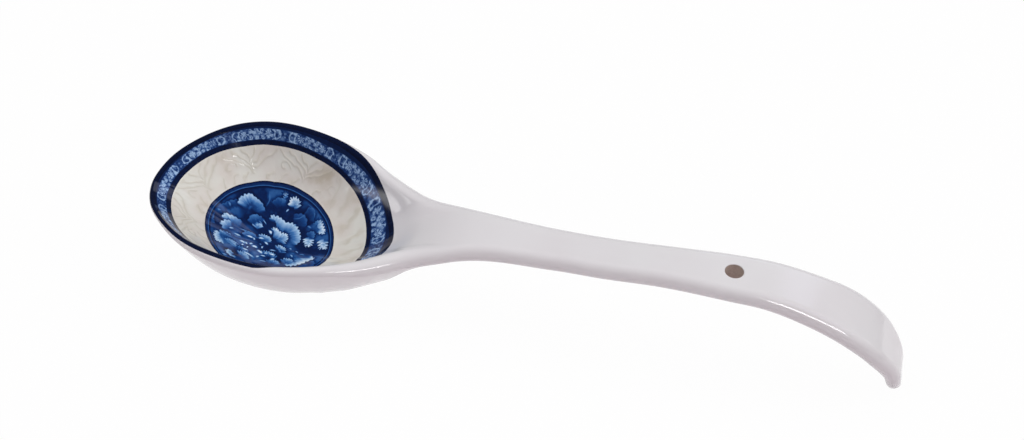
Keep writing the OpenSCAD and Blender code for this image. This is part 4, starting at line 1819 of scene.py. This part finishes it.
@dataclass(frozen=True)
class CreamReliefFinish:
    """Warm pale glaze, darkened along and around the raised scrolls by a painted shade."""

    name: str = "cream_relief"
    pale: tuple = (222, 221, 214)
    painted_shade_colour: tuple = (198, 192, 178)
    blush: tuple = (217, 211, 204)
    stain: tuple = (196, 186, 170)

    def build(self) -> bpy.types.Material:
        """Build the material.

        Returns:
            A glossy cream material with painted shade along the raised lines.
        """
        nodes = Nodes(self.name)
        stops = ((0.42, linear(*self.pale)), (0.58, linear(*self.blush)), (0.7, linear(*self.stain)))
        pale = nodes.ramp(nodes.noise(75.0, 6.0), stops)
        painted_shade_colour = nodes.add("ShaderNodeRGB")
        painted_shade_colour.outputs[0].default_value = (*linear(*self.painted_shade_colour), 1.0)
        # Painted shade: the stored height of the scrolls mixes in the darker shade colour.
        depth = nodes.add("ShaderNodeAttribute", attribute_name="painted_relief_shade")
        factor = nodes.add("ShaderNodeMath", operation="MULTIPLY")
        nodes.link(depth.outputs["Fac"], factor.inputs[0])
        nodes.link(nodes.noise(220.0), factor.inputs[1])
        colour = nodes.mixed(factor.outputs[0], pale, painted_shade_colour.outputs[0])
        nodes.link(colour, nodes.shader.inputs["Base Color"])
        nodes.uneven_gloss(180.0, 0.12, 0.2)
        nodes.bump(nodes.noise(700.0), 0.06, 0.0002)
        return nodes.material


# Sub-assemblies


@dataclass
class Spoon:
    """The whole spoon: porcelain body and its four decorated areas."""

    bowl_form: BowlForm = field(default_factory=BowlForm)
    print_form: PrintForm = field(default_factory=PrintForm)
    handle_form: HandleForm = field(default_factory=HandleForm)
    columns: int = 720
    fine_columns: int = 1440
    flower_rows: int = 110
    relief_rows: int = 48
    lace_rows: int = 48
    line_rows: int = 12
    flower_stops: tuple = ((0.0, (3, 10, 38)), (0.12, (8, 32, 80)), (0.26, (20, 64, 126)),
                           (0.45, (64, 116, 178)), (0.7, (150, 186, 222)), (1.0, (228, 239, 248)))
    lace_stops: tuple = ((0.0, (6, 12, 40)), (0.1, (12, 34, 78)), (0.3, (34, 66, 124)),
                         (0.6, (94, 126, 176)), (1.0, (166, 196, 230)))
    line_stops: tuple = ((0.0, (3, 8, 28)), (0.15, (10, 24, 62)), (1.0, (40, 70, 130)))

    def build(self) -> list[bpy.types.Object]:
        """Build, dress and place every piece.

        Returns:
            The pieces, in the order in which they were built.
        """
        coarse = BowlSurface(self.bowl_form, self.columns)
        fine = BowlSurface(self.bowl_form, self.fine_columns)
        pieces = [self._body(coarse), self._medallion(coarse), self._relief(fine),
                  self._border(fine), self._edge(coarse)]
        for piece in pieces:
            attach(piece, "root")
            LOG.info("%s: %d faces", piece.name, len(piece.data.polygons))
        return pieces

    def _body(self, bowl: BowlSurface) -> bpy.types.Object:
        """Build the glazed porcelain with its bare foot and bore.

        Args:
            bowl: The bowl's surface.

        Returns:
            The porcelain object.
        """
        body = PorcelainBody(bowl, self.print_form, HandleSurface(self.handle_form, self.bowl_form))
        piece = body.build()
        # Bare porcelain in the bore, coloured darker than the foot as painted shade inside the hole.
        bore = GroundFinish("bare_bore_painted_shade", (192, 177, 167), (166, 150, 140))
        finishes = {Face.GLAZED: GlazeFinish(), Face.GROUND: GroundFinish(), Face.BORE: bore}
        for face in Face:
            piece.data.materials.append(finishes[face].build())
        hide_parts("bowl", "handle")
        return piece

    def _medallion(self, bowl: BowlSurface) -> bpy.types.Object:
        """Build the painted flower medallion.

        Args:
            bowl: The surface it lies on.

        Returns:
            The medallion's object.
        """
        form = self.print_form
        area = PrintArea("flower_medallion", bowl, None, form.medal_run(bowl), self.flower_rows,
                         form.depth)
        piece = area.build()
        spots = bowl.skin(area.runs())
        area.store(piece, "tone", Medallion().tone(spots[..., 0], spots[..., 1]))
        piece.data.materials.append(BrushedBlueFinish("brushed_flower_blue", self.flower_stops).build())
        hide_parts("medallion")
        return piece

    def _relief(self, bowl: BowlSurface) -> bpy.types.Object:
        """Build the pale ring with its raised scrolls.

        Args:
            bowl: The surface it lies on.

        Returns:
            The ring's object.
        """
        form = self.print_form
        area = PrintArea("relief_ring", bowl, form.medal_run(bowl), form.relief_run(bowl),
                         self.relief_rows, form.depth)
        around = self._around(bowl, area.outer)
        spots = bowl.skin(area.runs())
        share = np.linspace(0.0, 1.0, area.rows + 1)
        scroll = ScrollRelief()
        across = np.linalg.norm(np.diff(spots, axis=1), axis=2).sum(axis=1)
        girth = np.linalg.norm(np.roll(spots, -1, axis=0) - spots, axis=2).sum(axis=0)
        unit_w = (girth / scroll.units)[None, :] + 0 * spots[..., 0]
        fan = ramp(bowl.way[:, 0], 0.35, 0.75)
        lift = scroll.lift(around, share, unit_w, across, fan)
        piece = area.build(lift)
        # Painted shade: the raised height is stored so that the material darkens the cream along the
        # scrolls.
        area.store(piece, "painted_relief_shade", np.clip(lift / scroll.height, 0.0, 1.0))
        piece.data.materials.append(CreamReliefFinish().build())
        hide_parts("relief_band")
        return piece

    def _border(self, bowl: BowlSurface) -> bpy.types.Object:
        """Build the blue lace border.

        Args:
            bowl: The surface it lies on.

        Returns:
            The border's object.
        """
        form = self.print_form
        area = PrintArea("lace_border", bowl, form.relief_run(bowl), form.line_run(bowl),
                         self.lace_rows, form.depth)
        piece = area.build()
        spots = bowl.skin(area.runs())
        steps = np.linalg.norm(np.diff(spots, axis=1), axis=2)
        arc = np.concatenate([np.zeros((len(steps), 1)), np.cumsum(steps, axis=1)], axis=1)
        around = self._around(bowl, (area.inner + area.outer) / 2)
        area.store(piece, "tone", LaceBorder().tone(bowl, arc, around, arc[:, -1] + form.line_w))
        piece.data.materials.append(BrushedBlueFinish("lace_blue", self.lace_stops).build())
        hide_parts("border_band")
        return piece

    def _edge(self, bowl: BowlSurface) -> bpy.types.Object:
        """Build the dark line that goes over the lip.

        Args:
            bowl: The surface it lies on.

        Returns:
            The line's object.
        """
        form = self.print_form
        area = PrintArea("edge_line_blue", bowl, form.line_run(bowl), form.print_run(bowl),
                         self.line_rows, form.depth)
        piece = area.build()
        share = np.linspace(0.0, 1.0, area.rows + 1)[None, :] + 0 * area.outer[:, None]
        area.store(piece, "tone", 0.06 + 0.03 * share)
        piece.data.materials.append(BrushedBlueFinish("edge_blue", self.line_stops).build())
        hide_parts("edge_line")
        return piece

    def _around(self, bowl: BowlSurface, run: Array) -> Array:
        """Measure the way round the bowl.

        Args:
            bowl: The bowl's surface.
            run: Distance from the centre on each column.

        Returns:
            Each column's share of the way round, by length.
        """
        spots = bowl.skin(run[:, None])[:, 0]
        steps = np.linalg.norm(np.roll(spots, -1, axis=0) - spots, axis=1)
        return np.concatenate([[0.0], np.cumsum(steps)[:-1]]) / steps.sum()


@dataclass(frozen=True)
class Lamp:
    """One rectangular lamp, hung by its direction from the place it is aimed at.

    Args:
        name: Name of the lamp.
        azimuth: Direction round, in degrees from +X toward +Y.
        elevation: Degrees above the table.
        reach: Distance from that place in metres.
        wide: Width in metres.
        tall: Height in metres.
        power: Power in watts.
        lean: Turn about its own axis, in degrees.
        along: Metres from the bowl's middle, toward the handle, to the place it is aimed at.
        tint: Colour of the light.
        mirrored: Whether the glaze reflects the lamp itself.
        bathes: Whether the lamp lights dull surfaces.
    """

    name: str
    azimuth: float
    elevation: float
    reach: float
    wide: float
    tall: float
    power: float
    lean: float = 0.0
    along: float = 0.0
    tint: tuple = (1.0, 1.0, 1.0)
    mirrored: bool = True
    bathes: bool = True

    def hang(self, bowl_middle: Vector) -> None:
        """Make the lamp and aim it.

        Args:
            bowl_middle: The bowl's middle in the scene.
        """
        target = bowl_middle + Vector((self.along, 0.0, 0.0))
        light = bpy.data.lights.new(self.name, "AREA")
        light.shape = "RECTANGLE"
        light.size = self.wide
        light.size_y = self.tall
        light.energy = self.power
        light.color = self.tint
        lamp = bpy.data.objects.new(self.name, light)
        turn, rise = math.radians(self.azimuth), math.radians(self.elevation)
        way = Vector((math.cos(turn) * math.cos(rise), math.sin(turn) * math.cos(rise), math.sin(rise)))
        lamp.location = target + way * self.reach
        spin = Quaternion((0.0, 0.0, 1.0), math.radians(self.lean))
        lamp.rotation_mode = "QUATERNION"
        lamp.rotation_quaternion = (-way).to_track_quat("-Z", "Y") @ spin
        lamp.visible_camera = False
        lamp.visible_glossy = self.mirrored
        lamp.visible_diffuse = self.bathes
        bpy.context.scene.collection.objects.link(lamp)


@dataclass
class Studio:
    """Pale floor, soft light and the camera."""

    azimuth: float = 7.763
    elevation: float = 44.703
    roll: float = 5.745
    distance: float = 596.43
    aim: tuple = (270.376, 258.136)
    focal_px: float = 2000.0
    frame_px: tuple = (1024, 440)
    sensor_mm: float = 36.0
    floor_tint: tuple = (0.79, 0.72, 0.75)
    floor_glow: float = 0.975
    floor_half: float = 1500.0
    floor_stops: int = 7
    floor_roughness: float = 0.9
    floor_sheen: float = 0.1
    world_level: float = 0.07
    world_tint: tuple = (1.0, 0.99, 1.0)
    aim_height: float = 0.02
    lamps: tuple = (
        Lamp("sky_softbox", 110.0, 72.0, 1.2, 1.0, 1.0, 8.0, mirrored=False),
        Lamp("side_softbox", -150.0, 50.0, 1.2, 0.8, 0.8, 3.4, mirrored=False),
        Lamp("hook_softbox", 8.0, 38.0, 1.2, 0.8, 0.8, 5.4, mirrored=False),
        Lamp("front_softbox", -70.0, 35.0, 1.2, 0.9, 0.6, 3.0, tint=(1.0, 0.89, 0.93), mirrored=False),
        Lamp("window", -66.3, 38.6, 0.205, 0.132, 0.029, 0.2, lean=-5.0, along=0.1594, bathes=False),
        Lamp("lavender_sheen", 68.0, 33.0, 0.9, 0.5, 0.22, 0.35, tint=(0.75, 0.8, 1.0), bathes=False),
        Lamp("tip_card", -158.0, 17.0, 0.9, 0.13, 0.08, 0.12, bathes=False),
    )

    def build(self, origin_shift: float) -> None:
        """Set up floor, world, lamps and camera.

        Args:
            origin_shift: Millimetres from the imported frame's origin to the medallion's centre.
        """
        self._floor()
        self._world()
        middle = Vector((origin_shift * MM, 0.0, self.aim_height))
        for lamp in self.lamps:
            lamp.hang(middle)
        self._camera(origin_shift)

    def _floor(self) -> None:
        """Lay a large pale floor under the spoon."""
        draft = MeshDraft()
        side = np.linspace(-self.floor_half, self.floor_half, self.floor_stops)
        along, across = np.meshgrid(side, side)
        grid = np.stack([along, across, np.zeros_like(along)], axis=-1)
        draft.add_cells(draft.add_points(grid), closed=False, flip=True)
        floor = draft.build("studio_floor", 0.0)
        nodes = Nodes("floor_white")
        nodes.shader.inputs["Base Color"].default_value = (*self.floor_tint, 1.0)
        nodes.shader.inputs["Roughness"].default_value = self.floor_roughness
        nodes.shader.inputs["Specular IOR Level"].default_value = self.floor_sheen
        glow = nodes.add("ShaderNodeEmission")
        glow.inputs["Strength"].default_value = 1.0
        ray = nodes.add("ShaderNodeLightPath")
        seen = nodes.add("ShaderNodeMath", operation="MAXIMUM")
        nodes.link(ray.outputs["Is Camera Ray"], seen.inputs[0])
        nodes.link(ray.outputs["Is Glossy Ray"], seen.inputs[1])
        part = nodes.add("ShaderNodeMath", operation="MULTIPLY")
        nodes.link(seen.outputs[0], part.inputs[0])
        part.inputs[1].default_value = self.floor_glow
        blend = nodes.add("ShaderNodeMixShader")
        nodes.link(part.outputs[0], blend.inputs[0])
        nodes.link(nodes.shader.outputs[0], blend.inputs[1])
        nodes.link(glow.outputs[0], blend.inputs[2])
        nodes.link(blend.outputs[0], nodes.tree.nodes["Material Output"].inputs["Surface"])
        floor.data.materials.append(nodes.material)

    def _world(self) -> None:
        """Light the scene evenly, and show white behind it."""
        world = bpy.data.worlds.new("studio_world")
        world.use_nodes = True
        bpy.context.scene.world = world
        tree = world.node_tree
        back = tree.nodes["Background"]
        back.inputs["Color"].default_value = (*self.world_tint, 1.0)
        back.inputs["Strength"].default_value = self.world_level
        white = tree.nodes.new("ShaderNodeBackground")
        white.inputs["Strength"].default_value = 1.0
        ray = tree.nodes.new("ShaderNodeLightPath")
        blend = tree.nodes.new("ShaderNodeMixShader")
        tree.links.new(ray.outputs["Is Camera Ray"], blend.inputs[0])
        tree.links.new(back.outputs[0], blend.inputs[1])
        tree.links.new(white.outputs[0], blend.inputs[2])
        tree.links.new(blend.outputs[0], tree.nodes["World Output"].inputs["Surface"])

    def _camera(self, origin_shift: float) -> None:
        """Place the camera at the photograph's angle.

        Args:
            origin_shift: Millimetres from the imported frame's origin to the medallion's centre.
        """
        turn, rise, roll = (math.radians(v) for v in (self.azimuth, self.elevation, self.roll))
        back = np.array([math.sin(turn) * math.cos(rise), -math.cos(turn) * math.cos(rise),
                         math.sin(rise)])
        side = np.array([math.cos(turn), math.sin(turn), 0.0])
        up = np.cross(back, side)
        right = math.cos(roll) * side + math.sin(roll) * up
        above = -math.sin(roll) * side + math.cos(roll) * up
        across = (self.aim[0] - self.frame_px[0] / 2) / self.focal_px * self.distance
        down = -(self.aim[1] - self.frame_px[1] / 2) / self.focal_px * self.distance
        place = self.distance * back - across * right - down * above
        place[0] += origin_shift
        data = bpy.data.cameras.new("photo_camera")
        data.sensor_fit = "HORIZONTAL"
        data.sensor_width = self.sensor_mm
        data.lens = self.sensor_mm * self.focal_px / self.frame_px[0]
        data.clip_start = 0.01
        camera = bpy.data.objects.new("photo_camera", data)
        camera.matrix_world = Matrix((
            (right[0], above[0], back[0], place[0] * MM),
            (right[1], above[1], back[1], place[1] * MM),
            (right[2], above[2], back[2], place[2] * MM),
            (0.0, 0.0, 0.0, 1.0)))
        bpy.context.scene.collection.objects.link(camera)
        bpy.context.scene.camera = camera


def main() -> None:
    """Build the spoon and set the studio."""
    logging.basicConfig(level=logging.INFO, format="%(name)s: %(message)s")
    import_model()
    spoon = Spoon()
    pieces = spoon.build()
    Studio().build(-spoon.bowl_form.base_reach)
    bpy.context.scene.view_settings.view_transform = "Standard"
    LOG.info("built %d pieces", len(pieces))


if __name__ == "__main__":
    main()
